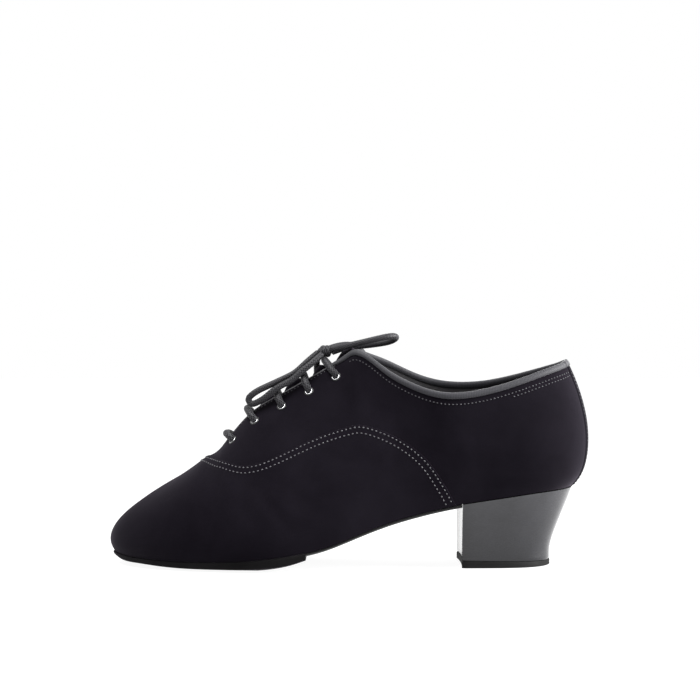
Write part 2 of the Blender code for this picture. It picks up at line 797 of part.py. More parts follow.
def lace_knot(parts, finish):
    build = bmesh.new()
    bmesh.ops.create_uvsphere(build, u_segments=14, v_segments=8, radius=1.0)
    bmesh.ops.scale(build, verts=build.verts, vec=LACE * Vector(KNOT_HALVES))
    mesh = bpy.data.meshes.new("lace_knot")
    build.to_mesh(mesh)
    build.free()
    made = add("lace_knot", mesh, finish, parts)
    made.location = KNOT_CENTRE
    return made


def main():
    for made in list(bpy.data.objects):
        bpy.data.objects.remove(made, do_unlink=True)
    parts = bpy.data.collections.new("ballroom_dance_shoe")
    cutters = bpy.data.collections.new("cutters")
    for collection in (parts, cutters):
        bpy.context.scene.collection.children.link(collection)
    nubuck = material("black_nubuck", (0.012, 0.011, 0.013), 0.85)
    ribbon = material("grey_ribbon", (0.040, 0.039, 0.048), 0.7)
    suede = material("black_suede", (0.014, 0.013, 0.014), 0.95)
    gloss = material("black_lacquer", (0.010, 0.010, 0.012), 0.12)
    lining = material("dark_lining", (0.025, 0.023, 0.024), 0.8)
    silver = material("bright_metal", (0.85, 0.85, 0.86), 0.2, 1.0)
    braid = material("black_braid", (0.014, 0.014, 0.016), 0.75)

    upper(parts, cutters, nubuck)
    outsole(parts, suede)
    waist_sole(parts, nubuck)
    heel(parts, gloss)
    heel_top_piece(parts, suede)
    insole(parts, lining)
    tongue(parts, nubuck)
    collar_binding(parts, ribbon)
    for side, number, rib, share in eyelet_places():
        eyelet(parts, silver, side, number, rib, share)
    for number in range(1, EYELETS + 1):
        lace_bar(number, parts, braid)
    lace_knot(parts, braid)
    cord("lace_loop_front", LOOP_FRONT, parts, braid)
    cord("lace_loop_back", LOOP_BACK, parts, braid)
    cord("lace_end_front", END_FRONT, parts, braid)
    cord("lace_end_back", END_BACK, parts, braid)


main()
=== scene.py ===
"""Looks of the ballroom dance shoe: panels, stitches, tape, laces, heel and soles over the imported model.

Metres, in the model's frame: toe to -X, heel to +X, lateral side to -Y, floor at Z = 0.
The upper's surface functions and sizes repeat those of the solids, so that each piece lies where
its solid does.
"""

import functools
import json
import math

import bmesh
import bpy
import numpy as np
from mathutils import Vector
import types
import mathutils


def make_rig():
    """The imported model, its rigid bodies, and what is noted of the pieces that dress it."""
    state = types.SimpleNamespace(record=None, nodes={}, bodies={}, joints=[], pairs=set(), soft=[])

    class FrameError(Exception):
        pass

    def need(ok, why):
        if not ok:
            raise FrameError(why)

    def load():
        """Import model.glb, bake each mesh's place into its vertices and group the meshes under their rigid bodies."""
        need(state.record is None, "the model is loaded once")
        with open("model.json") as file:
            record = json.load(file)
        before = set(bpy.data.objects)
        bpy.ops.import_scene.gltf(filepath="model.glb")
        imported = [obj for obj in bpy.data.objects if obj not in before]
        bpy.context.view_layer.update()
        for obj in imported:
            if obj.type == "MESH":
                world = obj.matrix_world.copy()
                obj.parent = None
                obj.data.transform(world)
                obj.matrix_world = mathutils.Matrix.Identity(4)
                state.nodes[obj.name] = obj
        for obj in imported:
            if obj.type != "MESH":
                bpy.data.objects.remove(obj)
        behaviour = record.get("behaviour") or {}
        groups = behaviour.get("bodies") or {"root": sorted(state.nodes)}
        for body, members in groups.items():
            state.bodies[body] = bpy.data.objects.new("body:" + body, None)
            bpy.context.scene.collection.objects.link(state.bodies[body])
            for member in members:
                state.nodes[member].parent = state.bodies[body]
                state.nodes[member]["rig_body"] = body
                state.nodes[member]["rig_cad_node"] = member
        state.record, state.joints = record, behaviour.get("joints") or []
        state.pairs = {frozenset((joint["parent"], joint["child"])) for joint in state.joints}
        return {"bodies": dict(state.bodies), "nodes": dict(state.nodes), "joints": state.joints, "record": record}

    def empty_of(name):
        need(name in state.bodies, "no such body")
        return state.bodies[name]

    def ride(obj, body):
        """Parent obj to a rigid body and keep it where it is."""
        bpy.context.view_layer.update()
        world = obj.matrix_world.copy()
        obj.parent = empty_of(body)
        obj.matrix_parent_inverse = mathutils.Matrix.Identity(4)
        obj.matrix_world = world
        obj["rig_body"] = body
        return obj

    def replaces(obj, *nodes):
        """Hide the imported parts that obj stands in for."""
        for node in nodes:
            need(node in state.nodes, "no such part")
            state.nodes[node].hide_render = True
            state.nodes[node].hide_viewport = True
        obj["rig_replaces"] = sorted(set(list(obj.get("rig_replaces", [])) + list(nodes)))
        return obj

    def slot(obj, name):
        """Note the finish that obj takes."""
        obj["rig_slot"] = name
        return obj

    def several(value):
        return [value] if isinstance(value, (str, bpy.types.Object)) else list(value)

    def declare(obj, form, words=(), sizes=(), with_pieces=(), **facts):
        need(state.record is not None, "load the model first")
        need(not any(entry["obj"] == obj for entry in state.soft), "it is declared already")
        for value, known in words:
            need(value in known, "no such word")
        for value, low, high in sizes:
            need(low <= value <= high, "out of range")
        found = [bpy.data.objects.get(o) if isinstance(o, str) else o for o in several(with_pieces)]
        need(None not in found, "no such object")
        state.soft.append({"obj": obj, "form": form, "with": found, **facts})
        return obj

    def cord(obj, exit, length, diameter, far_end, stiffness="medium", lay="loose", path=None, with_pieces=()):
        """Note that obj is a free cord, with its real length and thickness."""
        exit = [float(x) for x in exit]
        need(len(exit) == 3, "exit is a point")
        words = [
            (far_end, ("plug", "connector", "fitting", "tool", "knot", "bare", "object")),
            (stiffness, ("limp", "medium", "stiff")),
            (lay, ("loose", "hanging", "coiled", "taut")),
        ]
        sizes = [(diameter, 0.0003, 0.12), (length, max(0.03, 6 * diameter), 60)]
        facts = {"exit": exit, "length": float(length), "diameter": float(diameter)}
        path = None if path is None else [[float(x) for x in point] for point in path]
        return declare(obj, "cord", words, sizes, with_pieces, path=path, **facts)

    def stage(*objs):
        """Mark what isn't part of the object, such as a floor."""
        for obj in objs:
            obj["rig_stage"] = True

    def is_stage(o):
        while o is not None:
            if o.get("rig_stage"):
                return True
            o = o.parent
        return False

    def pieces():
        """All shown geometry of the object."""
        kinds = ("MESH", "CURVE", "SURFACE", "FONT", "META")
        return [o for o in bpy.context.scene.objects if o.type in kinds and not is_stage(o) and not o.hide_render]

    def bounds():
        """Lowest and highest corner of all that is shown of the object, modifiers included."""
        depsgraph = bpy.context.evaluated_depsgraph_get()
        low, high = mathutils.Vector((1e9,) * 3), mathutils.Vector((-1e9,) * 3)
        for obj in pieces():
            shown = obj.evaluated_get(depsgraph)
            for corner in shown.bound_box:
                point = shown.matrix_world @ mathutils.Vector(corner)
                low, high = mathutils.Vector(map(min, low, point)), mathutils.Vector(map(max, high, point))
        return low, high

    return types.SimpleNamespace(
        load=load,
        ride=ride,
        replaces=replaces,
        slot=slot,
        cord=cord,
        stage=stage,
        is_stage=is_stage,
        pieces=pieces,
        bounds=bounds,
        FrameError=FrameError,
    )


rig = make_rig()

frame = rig.load()
CAD_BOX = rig.bounds()

# Sizes of the solids
LENGTH = 0.2825
BALL_WIDTH = 0.098
INSTEP_HEIGHT = 0.1252
HEEL_HEIGHT = 0.0457
TOE_OVERHANG = 0.0030
BACK_OVERHANG = 0.0098
TOE_SWING = 0.0050
WALL = 0.0018
STEP = 0.0005
GAP = 0.0003
SOLE_LIP = 0.0006
SOLE_FLAT_INSET = 0.0132
SOLE_FIRST_RIB = 0.012
TREAD_SHARE = 0.423
WAIST_THICKNESS = 0.0021
WAIST_INSET = 0.0012
HEEL_BREAST = 0.0655
TOP_PIECE_HEIGHT = 0.0042
TOP_PIECE_SLOPE = 0.0012
INSOLE_THICKNESS = 0.0025
INSOLE_GAP = 0.0006
INSOLE_ENDS = (0.075, 0.93)
TONGUE_THICKNESS = 0.0024
TONGUE_GAP = 0.0009
TONGUE_REACH = 0.016
TONGUE_CROWN = -0.0006
TONGUE_CROWN_RIBS = 0.025
BINDING_THICKNESS = 0.0006
BACK_STRIP_WIDTH = 0.0068
EYELETS = 5
EYELET_SPACING = 0.0184
FIRST_EYELET = 0.0110
EYELET_SETBACK = 0.0100
EYELET_RADIUS = 0.0029
EYELET_BORE = 0.0018
LACE = 0.0034
BAR_LEANS = (0.0034, 0.0030, 0.0018, 0.0018, 0.0045)
KNOT_CENTRE = (-0.0132, 0.0000, 0.1248)

TOE_X = -0.5 * LENGTH
BACK_X = 0.5 * LENGTH
FEATHER_TOE_X = TOE_X + TOE_OVERHANG
FEATHER_BACK_X = BACK_X - BACK_OVERHANG
FEATHER_LENGTH = FEATHER_BACK_X - FEATHER_TOE_X
TREAD_END = FEATHER_TOE_X + TREAD_SHARE * FEATHER_LENGTH
LATERAL = -1
MEDIAL = 1
THROAT = 0.34
PEAK = 0.535
BACK_STRIP_START = 1 - BACK_STRIP_WIDTH / (math.pi * 0.5 * BALL_WIDTH)

# Sizes of what only the looks have
SEAM_START_RIB = 0.268
TAPE_DEPTH = 0.0029
SEAM_STITCH = (0.0025, 0.0013, 0.00036)  # pitch, length and radius
EDGE_STITCH = (0.0022, 0.0012, 0.00032)
STITCH_LIFT = 0.00006
SEAM_ROWS = (0.0013, 0.0047)
FACING_ROW = 0.0024
COLLAR_ROW = 0.0060
TREAD_STEPS = 110
TONGUE_SWELL = 0.0052
SHOWN_LACE = 1.10
SHOWN_BAR = 1.22
EYELET_SINK = 0.0006
BRAID_PITCH = 0.0068
YARNS = 8
YARN_PITCH = 0.0140
LACE_SPACING = 0.00035
LACE_AROUND = 28
AGLET_LENGTH = 0.0125
AGLET_SPACING = 0.0004

# Feather edge: share of its length; half widths of the two sides as shares of the ball width.
OUTLINE = (
    (0.000, 0.000, 0.000), (0.045, 0.215, 0.215), (0.097, 0.312, 0.312), (0.149, 0.370, 0.376),
    (0.201, 0.408, 0.418), (0.253, 0.434, 0.440), (0.305, 0.452, 0.442), (0.368, 0.458, 0.414),
    (0.462, 0.434, 0.340), (0.566, 0.382, 0.280), (0.670, 0.336, 0.272), (0.774, 0.314, 0.294),
    (0.879, 0.300, 0.300), (0.952, 0.234, 0.234), (1.000, 0.000, 0.000),
)
# Height of the feather edge: share of its length; share of the heel height.
RISE = (
    (0.000, 0.166), (0.035, 0.138), (0.078, 0.124), (0.135, 0.118), (0.191, 0.121),
    (0.265, 0.135), (0.335, 0.168), (0.406, 0.228), (0.459, 0.297), (0.526, 0.442),
    (0.594, 0.590), (0.661, 0.702), (0.728, 0.790), (0.834, 0.888), (0.912, 0.952),
    (1.000, 1.000),
)
# Top edge: rib; share of the length; heights of the two sides as shares of the instep height;
# their distances from the middle as shares of the ball width.
TOP_EDGE = (
    (0.000, 0.1390, 0.400, 0.400, 0.000, 0.000), (0.100, 0.1585, 0.427, 0.427, 0.000, 0.000),
    (0.200, 0.1870, 0.473, 0.473, 0.000, 0.000), (0.280, 0.2120, 0.512, 0.512, 0.000, 0.000),
    (0.340, 0.2370, 0.556, 0.556, 0.000, 0.000), (0.370, 0.2600, 0.622, 0.622, 0.036, 0.036),
    (0.410, 0.3040, 0.725, 0.725, 0.054, 0.054), (0.450, 0.3640, 0.806, 0.806, 0.064, 0.064),
    (0.490, 0.4440, 0.909, 0.909, 0.078, 0.078), (0.515, 0.4900, 0.972, 0.974, 0.096, 0.096),
    (0.535, 0.5100, 1.000, 1.004, 0.128, 0.128), (0.560, 0.5360, 0.982, 0.990, 0.170, 0.168),
    (0.600, 0.5790, 0.908, 0.952, 0.238, 0.232), (0.640, 0.6300, 0.845, 0.898, 0.300, 0.288),
    (0.700, 0.7020, 0.803, 0.849, 0.344, 0.330), (0.760, 0.7800, 0.822, 0.846, 0.316, 0.312),
    (0.820, 0.8520, 0.869, 0.877, 0.266, 0.266), (0.880, 0.9110, 0.915, 0.915, 0.192, 0.192),
    (0.940, 0.9450, 0.941, 0.941, 0.098, 0.098), (1.000, 0.9555, 0.954, 0.954, 0.000, 0.000),
    (1.060, 0.9450, 0.941, 0.941, -0.098, -0.098),
)
# Ribs: rib; lean of the foot on the two sides; foot handle; heading and slope of the top; top handle.
RIBS = (
    (0.000, 37, 37, 0.290, 0, 0, 0.500), (0.100, 37, 37, 0.300, 0, 0, 0.480),
    (0.200, 34, 35, 0.310, 0, 0, 0.450), (0.280, 31, 33, 0.320, 0, 0, 0.440),
    (0.340, 27, 31, 0.330, 0, 0, 0.420), (0.370, 25, 31, 0.340, 0, 20, 0.380),
    (0.410, 20, 32, 0.350, 0, 33, 0.340), (0.450, 15, 32, 0.360, 0, 40, 0.310),
    (0.490, 11, 30, 0.370, 0, 46, 0.290), (0.535, 9, 27, 0.380, 2, 62, 0.290),
    (0.600, 9, 22, 0.370, 6, 80, 0.320), (0.700, 13, 15, 0.350, 12, 86, 0.340),
    (0.760, 19, 19, 0.330, 20, 84, 0.350), (0.820, 28, 28, 0.310, 34, 79, 0.370),
    (0.880, 38, 38, 0.290, 52, 72, 0.390), (0.940, 47, 47, 0.275, 71, 65, 0.410),
    (1.000, 51, 51, 0.268, 90, 62, 0.418), (1.060, 47, 47, 0.275, 109, 65, 0.410),
)
# Wing seam from the side: share of the length; share of the instep height.
WING_SEAM = (
    (0.205, 0.506), (0.225, 0.502), (0.240, 0.497), (0.266, 0.484), (0.290, 0.477),
    (0.318, 0.488), (0.344, 0.510), (0.394, 0.562), (0.447, 0.615), (0.498, 0.652),
    (0.520, 0.661), (0.540, 0.655), (0.576, 0.627), (0.611, 0.587), (0.640, 0.541),
    (0.668, 0.476), (0.690, 0.402), (0.711, 0.320), (0.722, 0.270),
)
# Forefoot sole: share of its length; heights of its edge and middle as shares of the heel height.
TREAD = (
    (0.000, 0.128, 0.106), (0.050, 0.082, 0.058), (0.140, 0.061, 0.026), (0.260, 0.046, 0.008),
    (0.380, 0.035, -0.004), (0.500, 0.033, -0.006), (0.620, 0.036, -0.006),
    (0.730, 0.047, -0.004), (0.850, 0.068, 0.024), (0.930, 0.104, 0.066), (1.000, 0.155, 0.124),
)
# Heel: share of its height; length behind the breast and half width as shares of the seat's.
HEEL_SHAPE = (
    (0.00, 0.800, 0.785), (0.14, 0.802, 0.785), (0.30, 0.826, 0.800), (0.52, 0.878, 0.842),
    (0.75, 0.938, 0.905), (0.90, 0.976, 0.960), (1.00, 1.000, 1.000),
)
# The bow's routes
LOOP_FRONT = (
    (-0.0179, -0.0003, 0.1238), (-0.0212, -0.0025, 0.1211), (-0.0259, -0.0049, 0.1169),
    (-0.0311, -0.0064, 0.1123), (-0.0365, -0.0074, 0.1093), (-0.0417, -0.0083, 0.1069),
    (-0.0470, -0.0089, 0.1045), (-0.0522, -0.0092, 0.1020), (-0.0564, -0.0090, 0.0992),
    (-0.0582, -0.0086, 0.0965), (-0.0570, -0.0089, 0.0944), (-0.0530, -0.0099, 0.0950),
    (-0.0486, -0.0112, 0.0977), (-0.0436, -0.0118, 0.1018), (-0.0380, -0.0117, 0.1053),
    (-0.0330, -0.0114, 0.1080), (-0.0280, -0.0110, 0.1122), (-0.0220, -0.0097, 0.1172),
    (-0.0179, -0.0070, 0.1207), (-0.0156, -0.0045, 0.1227),
)
LOOP_BACK = (
    (-0.0094, -0.0020, 0.1259), (-0.0040, -0.0050, 0.1271), (0.0030, -0.0076, 0.1287),
    (0.0110, -0.0090, 0.1306), (0.0195, -0.0086, 0.1326), (0.0260, -0.0054, 0.1336),
    (0.0281, -0.0004, 0.1328), (0.0258, 0.0040, 0.1310), (0.0190, 0.0066, 0.1294),
    (0.0105, 0.0074, 0.1283), (0.0025, 0.0062, 0.1275), (-0.0040, 0.0044, 0.1262),
    (-0.0093, 0.0019, 0.1244),
)
END_FRONT = (
    (-0.0160, 0.0052, 0.1254), (-0.0180, 0.0082, 0.1222), (-0.0187, 0.0096, 0.1178),
    (-0.0187, 0.0113, 0.1128), (-0.0187, 0.0155, 0.1070), (-0.0197, 0.0203, 0.0992),
    (-0.0226, 0.0246, 0.0912), (-0.0266, 0.0284, 0.0823), (-0.0310, 0.0323, 0.0737),
    (-0.0357, 0.0363, 0.0648), (-0.0393, 0.0401, 0.0567),
)
END_BACK = (
    (-0.0113, 0.0045, 0.1263), (-0.0075, 0.0095, 0.1276), (-0.0020, 0.0135, 0.1286),
    (0.0045, 0.0180, 0.1276), (0.0092, 0.0212, 0.1230), (0.0115, 0.0226, 0.1169),
    (0.0125, 0.0246, 0.1095), (0.0132, 0.0271, 0.1015), (0.0134, 0.0299, 0.0924),
    (0.0135, 0.0324, 0.0835), (0.0125, 0.0348, 0.0741),
)


def lengths_along(points):
    """Length along a line of points up to each of them."""
    steps = np.linalg.norm(np.diff(points, axis=0), axis=1)
    return np.concatenate(([0], np.cumsum(steps)))


@functools.lru_cache(maxsize=None)
def bends(table, column):
    """Knots, values and second derivatives of the natural cubic spline through a column."""
    rows = np.array(table, float)
    known, values = rows[:, 0], rows[:, column]
    widths = np.diff(known)
    slopes = np.diff(values) / widths
    count = len(known)
    matrix = np.eye(count)
    right = np.zeros(count)
    for i in range(1, count - 1):
        matrix[i, i - 1:i + 2] = widths[i - 1], 2 * (widths[i - 1] + widths[i]), widths[i]
        right[i] = 6 * (slopes[i] - slopes[i - 1])
    return known, values, np.linalg.solve(matrix, right)


def spline(table, column, at):
    known, values, bend = bends(table, column)
    i = int(np.clip(np.searchsorted(known, at) - 1, 0, len(known) - 2))
    width, ahead, behind = known[i + 1] - known[i], known[i + 1] - at, at - known[i]
    curved = (bend[i] * ahead**3 + bend[i + 1] * behind**3) / (6 * width)
    before = (values[i] / width - bend[i] * width / 6) * ahead
    return curved + before + (values[i + 1] / width - bend[i + 1] * width / 6) * behind


def along(rib):
    return 0.5 * (1 - math.cos(math.pi * rib))


def rib_at(x):
    share = np.clip((x - FEATHER_TOE_X) / FEATHER_LENGTH, 0, 1)
    return math.acos(1 - 2 * share) / math.pi


OUTLINE_BY_RIB = tuple((rib_at(FEATHER_TOE_X + share * FEATHER_LENGTH), a, b) for share, a, b in OUTLINE)


def swing(share):
    return TOE_SWING * max(0.0, 1 - share / 0.32) ** 2


def feather_height(x):
    share = np.clip((x - FEATHER_TOE_X) / FEATHER_LENGTH, 0, 1)
    return HEEL_HEIGHT * spline(RISE, 1, share)


def feather(rib, side, inset=0.0):
    share = along(rib)
    x = FEATHER_TOE_X + share * FEATHER_LENGTH
    half = BALL_WIDTH * spline(OUTLINE_BY_RIB, 1 if side == LATERAL else 2, rib)
    point = np.array((x, side * half + swing(share), 0.0))
    if inset:
        point -= inset * outward(rib, side)
    point[2] = feather_height(point[0])
    return point


def outward(rib, side):
    low, high = max(0.0, rib - 0.004), min(1.0, rib + 0.004)
    run = feather(high, side) - feather(low, side)
    if low == 0.0:
        run[1] = feather(high, side)[1] - feather(high, -side)[1]
        run[0] = 0.0
    if high == 1.0:
        run[1] = feather(low, -side)[1] - feather(low, side)[1]
        run[0] = 0.0
    normal = np.array((run[1], -run[0], 0.0)) * -side
    return normal / np.linalg.norm(normal)


def top_edge(rib, side):
    lateral = side == LATERAL
    x = TOE_X + LENGTH * spline(TOP_EDGE, 1, rib)
    z = INSTEP_HEIGHT * spline(TOP_EDGE, 2 if lateral else 3, rib)
    away = 0.0 if rib <= THROAT else max(0.0, spline(TOP_EDGE, 4 if lateral else 5, rib))
    return np.array((x, side * BALL_WIDTH * away, z))


def top_direction(rib, side):
    heading = math.radians(spline(RIBS, 4, rib))
    slope = math.radians(max(0.0, spline(RIBS, 5, rib)))
    away = np.array((math.sin(heading), side * math.cos(heading), 0.0))
    direction = away * math.cos(slope) - np.array((0, 0, 1.0)) * math.sin(slope)
    if rib < THROAT:
        turn = 0.5 * math.pi * rib / THROAT
        ridge = top_edge(rib + 0.01, side) - top_edge(max(0.0, rib - 0.01), side)
        ridge /= np.linalg.norm(ridge)
        direction = -ridge * math.cos(turn) + np.array((0, side, 0)) * math.sin(turn)
    return direction / np.linalg.norm(direction)


@functools.lru_cache(maxsize=None)
def controls(rib, side):
    """The four control points of a rib, from the feather edge to the top edge."""
    foot, top = feather(rib, side), top_edge(rib, side)
    chord = np.linalg.norm(top - foot)
    lean = math.radians(spline(RIBS, 1 if side == LATERAL else 2, rib))
    rise = outward(rib, side) * math.sin(lean) + np.array((0, 0, 1.0)) * math.cos(lean)
    low = foot + rise * chord * spline(RIBS, 3, rib)
    high = top + top_direction(rib, side) * chord * spline(RIBS, 6, rib)
    return np.array((foot, low, high, top))


def skin(side, ribs, shares):
    """Points of the outside: one row of shares for each rib, or one share for each rib."""
    corners = np.array([controls(float(np.clip(rib, 0, 1)), side) for rib in ribs])
    shares = np.asarray(shares, float)
    if shares.ndim == 2:
        corners = corners[:, :, None, :]
    share = shares[..., None]
    rest = 1 - share
    foot, low, high, top = corners[:, 0], corners[:, 1], corners[:, 2], corners[:, 3]
    return foot * rest**3 + 3 * low * rest**2 * share + 3 * high * rest * share**2 + top * share**3


def unit(vectors):
    return vectors / np.maximum(np.linalg.norm(vectors, axis=-1, keepdims=True), 1e-12)


def skin_frames(side, ribs, shares):
    """Points of the outside, with their outward normals, and the directions up and along."""
    ribs = np.asarray(ribs, float)
    shares = np.asarray(shares, float)
    points = skin(side, ribs, shares)
    up = unit(skin(side, ribs, shares + 0.01) - skin(side, ribs, shares - 0.01))
    run = skin(side, ribs + 0.003, shares) - skin(side, ribs - 0.003, shares)
    run[ribs < 0.003] = (0, side, 0)
    run[ribs > 0.997] = (0, -side, 0)
    run = unit(run)
    return points, unit(np.cross(run, up) * -side), up, run


def share_below_edge(rib, side, distance):
    """Share up the rib at a distance down the skin from the top edge."""
    shares = np.linspace(1, 0, 121)
    points = skin(side, [rib], shares[None])[0]
    return float(np.interp(distance, lengths_along(points), shares))


def rib_on_facing(distance):
    """Rib at a distance along the facing's edge from the throat."""
    ribs = np.linspace(THROAT, PEAK, 160)
    points = np.array([top_edge(rib, LATERAL) for rib in ribs])
    return float(np.interp(distance, lengths_along(points), ribs))


def crossing_share(rib, side):
    """Share up the rib at which it crosses the wing seam, or -0.02 behind the seam."""
    shares = np.linspace(0, 1, 241)
    points = skin(side, [rib], shares[None])[0]
    length_share = (points[:, 0] - TOE_X) / LENGTH
    if length_share[0] > WING_SEAM[-1][0]:
        return -0.02
    seam = np.array([spline(WING_SEAM, 1, min(max(share, WING_SEAM[0][0]), WING_SEAM[-1][0]))
                     for share in length_share]) * INSTEP_HEIGHT
    over = points[:, 2] - seam
    above = np.nonzero((over >= 0) & (length_share >= WING_SEAM[0][0]))[0]
    if not len(above):
        return 1.02
    j = above[0]
    if j == 0:
        return 0.0
    return float(shares[j - 1] + (shares[j] - shares[j - 1]) * over[j - 1] / (over[j - 1] - over[j]))


@functools.lru_cache(maxsize=None)
def seam_table(side):
    """The wing seam as ribs and shares, from the middle of the ridge to the feather edge."""
    ribs = np.linspace(SEAM_START_RIB, 0.70, 240)
    shares = np.array([crossing_share(rib, side) for rib in ribs])
    end = np.nonzero(shares <= 0.0)[0][0]
    shares[0] = 1.0
    return ribs[:end + 1], np.clip(shares[:end + 1], 0, 1)


def seam_share(rib, side):
    """Share up the rib at the wing seam: 1 before its start and 0 behind its end."""
    ribs, shares = seam_table(side)
    return float(np.interp(rib, ribs, shares, left=1.0, right=0.0))


def moved_over(side, ribs, shares, distance):
    """A line on the skin moved sideways on it by a distance, upwards for a positive one."""
    ribs, shares = np.asarray(ribs, float), np.asarray(shares, float)
    points, normals, _, _ = skin_frames(side, ribs, shares)
    tangents = unit(np.gradient(points, axis=0))
    across = unit(np.cross(normals, tangents))
    if np.mean(across[:, 2]) < 0:
        across = -across
    targets = points + across * distance
    for _ in range(5):
        by_rib = (skin(side, ribs + 0.002, shares) - skin(side, ribs - 0.002, shares)) / 0.004
        by_share = (skin(side, ribs, shares + 0.005) - skin(side, ribs, shares - 0.005)) / 0.01
        wanted = targets - skin(side, ribs, shares)
        a, b, c = (by_rib**2).sum(1), (by_rib * by_share).sum(1), (by_share**2).sum(1)
        d, e = (by_rib * wanted).sum(1), (by_share * wanted).sum(1)
        det = a * c - b * b
        ribs = ribs + (d * c - e * b) / det
        shares = shares + (a * e - b * d) / det
    return ribs, shares


def new_piece(name, verts, faces, finish, slot, smooth=True, face_finish=None):
    """Mesh piece riding on the body; finish is one material, or several with an index per face."""
    mesh = bpy.data.meshes.new(name)
    mesh.from_pydata([tuple(map(float, v)) for v in verts], [], [tuple(map(int, f)) for f in faces])
    for one in (finish if isinstance(finish, (list, tuple)) else [finish]):
        mesh.materials.append(one)
    if face_finish is not None:
        mesh.polygons.foreach_set("material_index", np.asarray(face_finish, dtype=np.int32))
    if smooth:
        mesh.shade_smooth()
    mesh.update()
    made = bpy.data.objects.new(name, mesh)
    bpy.context.scene.collection.objects.link(made)
    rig.ride(made, "root")
    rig.slot(made, slot)
    return made


class Sheets:
    """Collects grids of points into one mesh."""

    def __init__(self):
        self.verts, self.faces, self.kinds, self.uvs = [], [], [], []

    def grid(self, points, flip=False, ring=False, kind=0, scale=(1.0, 1.0)):
        points = np.asarray(points, float)
        rows, columns = points.shape[:2]
        base = len(self.verts)
        self.verts.extend(points.reshape(-1, 3))
        last = columns if ring else columns - 1
        for i in range(rows - 1):
            for j in range(last):
                k = (j + 1) % columns
                face = (base + i * columns + j, base + i * columns + k,
                        base + (i + 1) * columns + k, base + (i + 1) * columns + j)
                self.faces.append(face[::-1] if flip else face)
                self.kinds.append(kind)
                corner = [(i * scale[0], j * scale[1]), (i * scale[0], (j + 1) * scale[1]),
                          ((i + 1) * scale[0], (j + 1) * scale[1]), ((i + 1) * scale[0], j * scale[1])]
                self.uvs.append(corner[::-1] if flip else corner)

    def fan(self, ring, kind=0, flip=False):
        ring = np.asarray(ring, float)
        base = len(self.verts)
        self.verts.extend(ring)
        self.verts.append(ring.mean(axis=0))
        for j in range(len(ring)):
            face = (base + j, base + (j + 1) % len(ring), base + len(ring))
            self.faces.append(face[::-1] if flip else face)
            self.kinds.append(kind)
            self.uvs.append([(0, 0)] * 3)

    def piece(self, name, finish, slot, merge=0.0, with_uv=False):
        made = new_piece(name, self.verts, self.faces, finish, slot, face_finish=self.kinds)
        if with_uv:
            layer = made.data.uv_layers.new(name="run")
            layer.data.foreach_set("uv", np.array([c for face in self.uvs for c in face]).ravel())
        if merge:
            build = bmesh.new()
            build.from_mesh(made.data)
            bmesh.ops.remove_doubles(build, verts=build.verts, dist=merge)
            bmesh.ops.dissolve_degenerate(build, edges=build.edges, dist=merge * 0.5)
            build.to_mesh(made.data)
            build.free()
        return made


def tube_rings(route, radius, around, relief=None):
    """Rings round a route; relief gives a share of the radius by angle and run."""
    tangents = unit(np.gradient(route, axis=0))
    start = np.array((0, 0, 1.0)) if abs(tangents[0][2]) < 0.9 else np.array((1.0, 0, 0))
    side = unit(np.cross(tangents[0], start))
    runs = lengths_along(route)
    angles = np.linspace(0, 2 * math.pi, around, endpoint=False)
    radii = np.broadcast_to(radius, len(route))
    rings = []
    for centre, tangent, run, size in zip(route, tangents, runs, radii):
        side = unit(side - tangent * (side @ tangent))
        other = np.cross(tangent, side)
        far = size * (1 + (relief(angles, run) if relief else 0 * angles))
        rings.append(centre + far[:, None] * (np.cos(angles)[:, None] * side
                                             + np.sin(angles)[:, None] * other))
    return np.array(rings)


def braid(angles, run):
    """Relief of a round braid: two sets of yarns wind opposite ways over and under."""
    turn = 2 * math.pi * run / BRAID_PITCH
    one = np.cos(4 * (angles + turn))
    two = np.cos(4 * (angles - turn))
    over = np.cos(4 * turn) * np.cos(4 * angles)
    return 0.045 * np.maximum(one, two) + 0.02 * over - 0.03


def smooth_route(points, spacing):
    """Points at an even spacing on a smooth curve through the route's own points."""
    lengths = lengths_along(points)
    table = tuple((float(length), *map(float, point)) for length, point in zip(lengths, points))
    count = max(4, int(round(lengths[-1] / spacing)) + 1)
    stops = np.linspace(0, lengths[-1], count)
    return np.array([[spline(table, axis, at) for axis in (1, 2, 3)] for at in stops])


def lace_piece(name, points, swell=SHOWN_LACE):
    """Braided lace along a route, and the route's even points."""
    route = smooth_route(points, LACE_SPACING)
    rings = tube_rings(route, 0.5 * LACE * swell, LACE_AROUND, relief=braid)
    step = np.linalg.norm(route[1] - route[0])
    made = Sheets()
    turn = 2 * math.pi * YARNS
    made.grid(rings, ring=True, flip=True, scale=(turn * step / YARN_PITCH, turn / LACE_AROUND))
    made.fan(rings[0])
    made.fan(rings[-1], flip=True)
    return made.piece(name, M_LACE, "lace", with_uv=True), route


def nodes_of(name):
    """New material, its node tree and its shader."""
    made = bpy.data.materials.new(name)
    made.use_nodes = True
    tree = made.node_tree
    return made, tree, tree.nodes["Principled BSDF"]


def coordinates(tree, kind="Object"):
    return tree.nodes.new("ShaderNodeTexCoord").outputs[kind]


def noise(tree, vector, scale, detail=4.0, roughness=0.55, distortion=0.0):
    made = tree.nodes.new("ShaderNodeTexNoise")
    made.inputs["Scale"].default_value = scale
    made.inputs["Detail"].default_value = detail
    made.inputs["Roughness"].default_value = roughness
    made.inputs["Distortion"].default_value = distortion
    tree.links.new(vector, made.inputs["Vector"])
    return made.outputs["Fac"]


def stretched(tree, vector, scale):
    made = tree.nodes.new("ShaderNodeMapping")
    made.inputs["Scale"].default_value = scale
    tree.links.new(vector, made.inputs["Vector"])
    return made.outputs["Vector"]


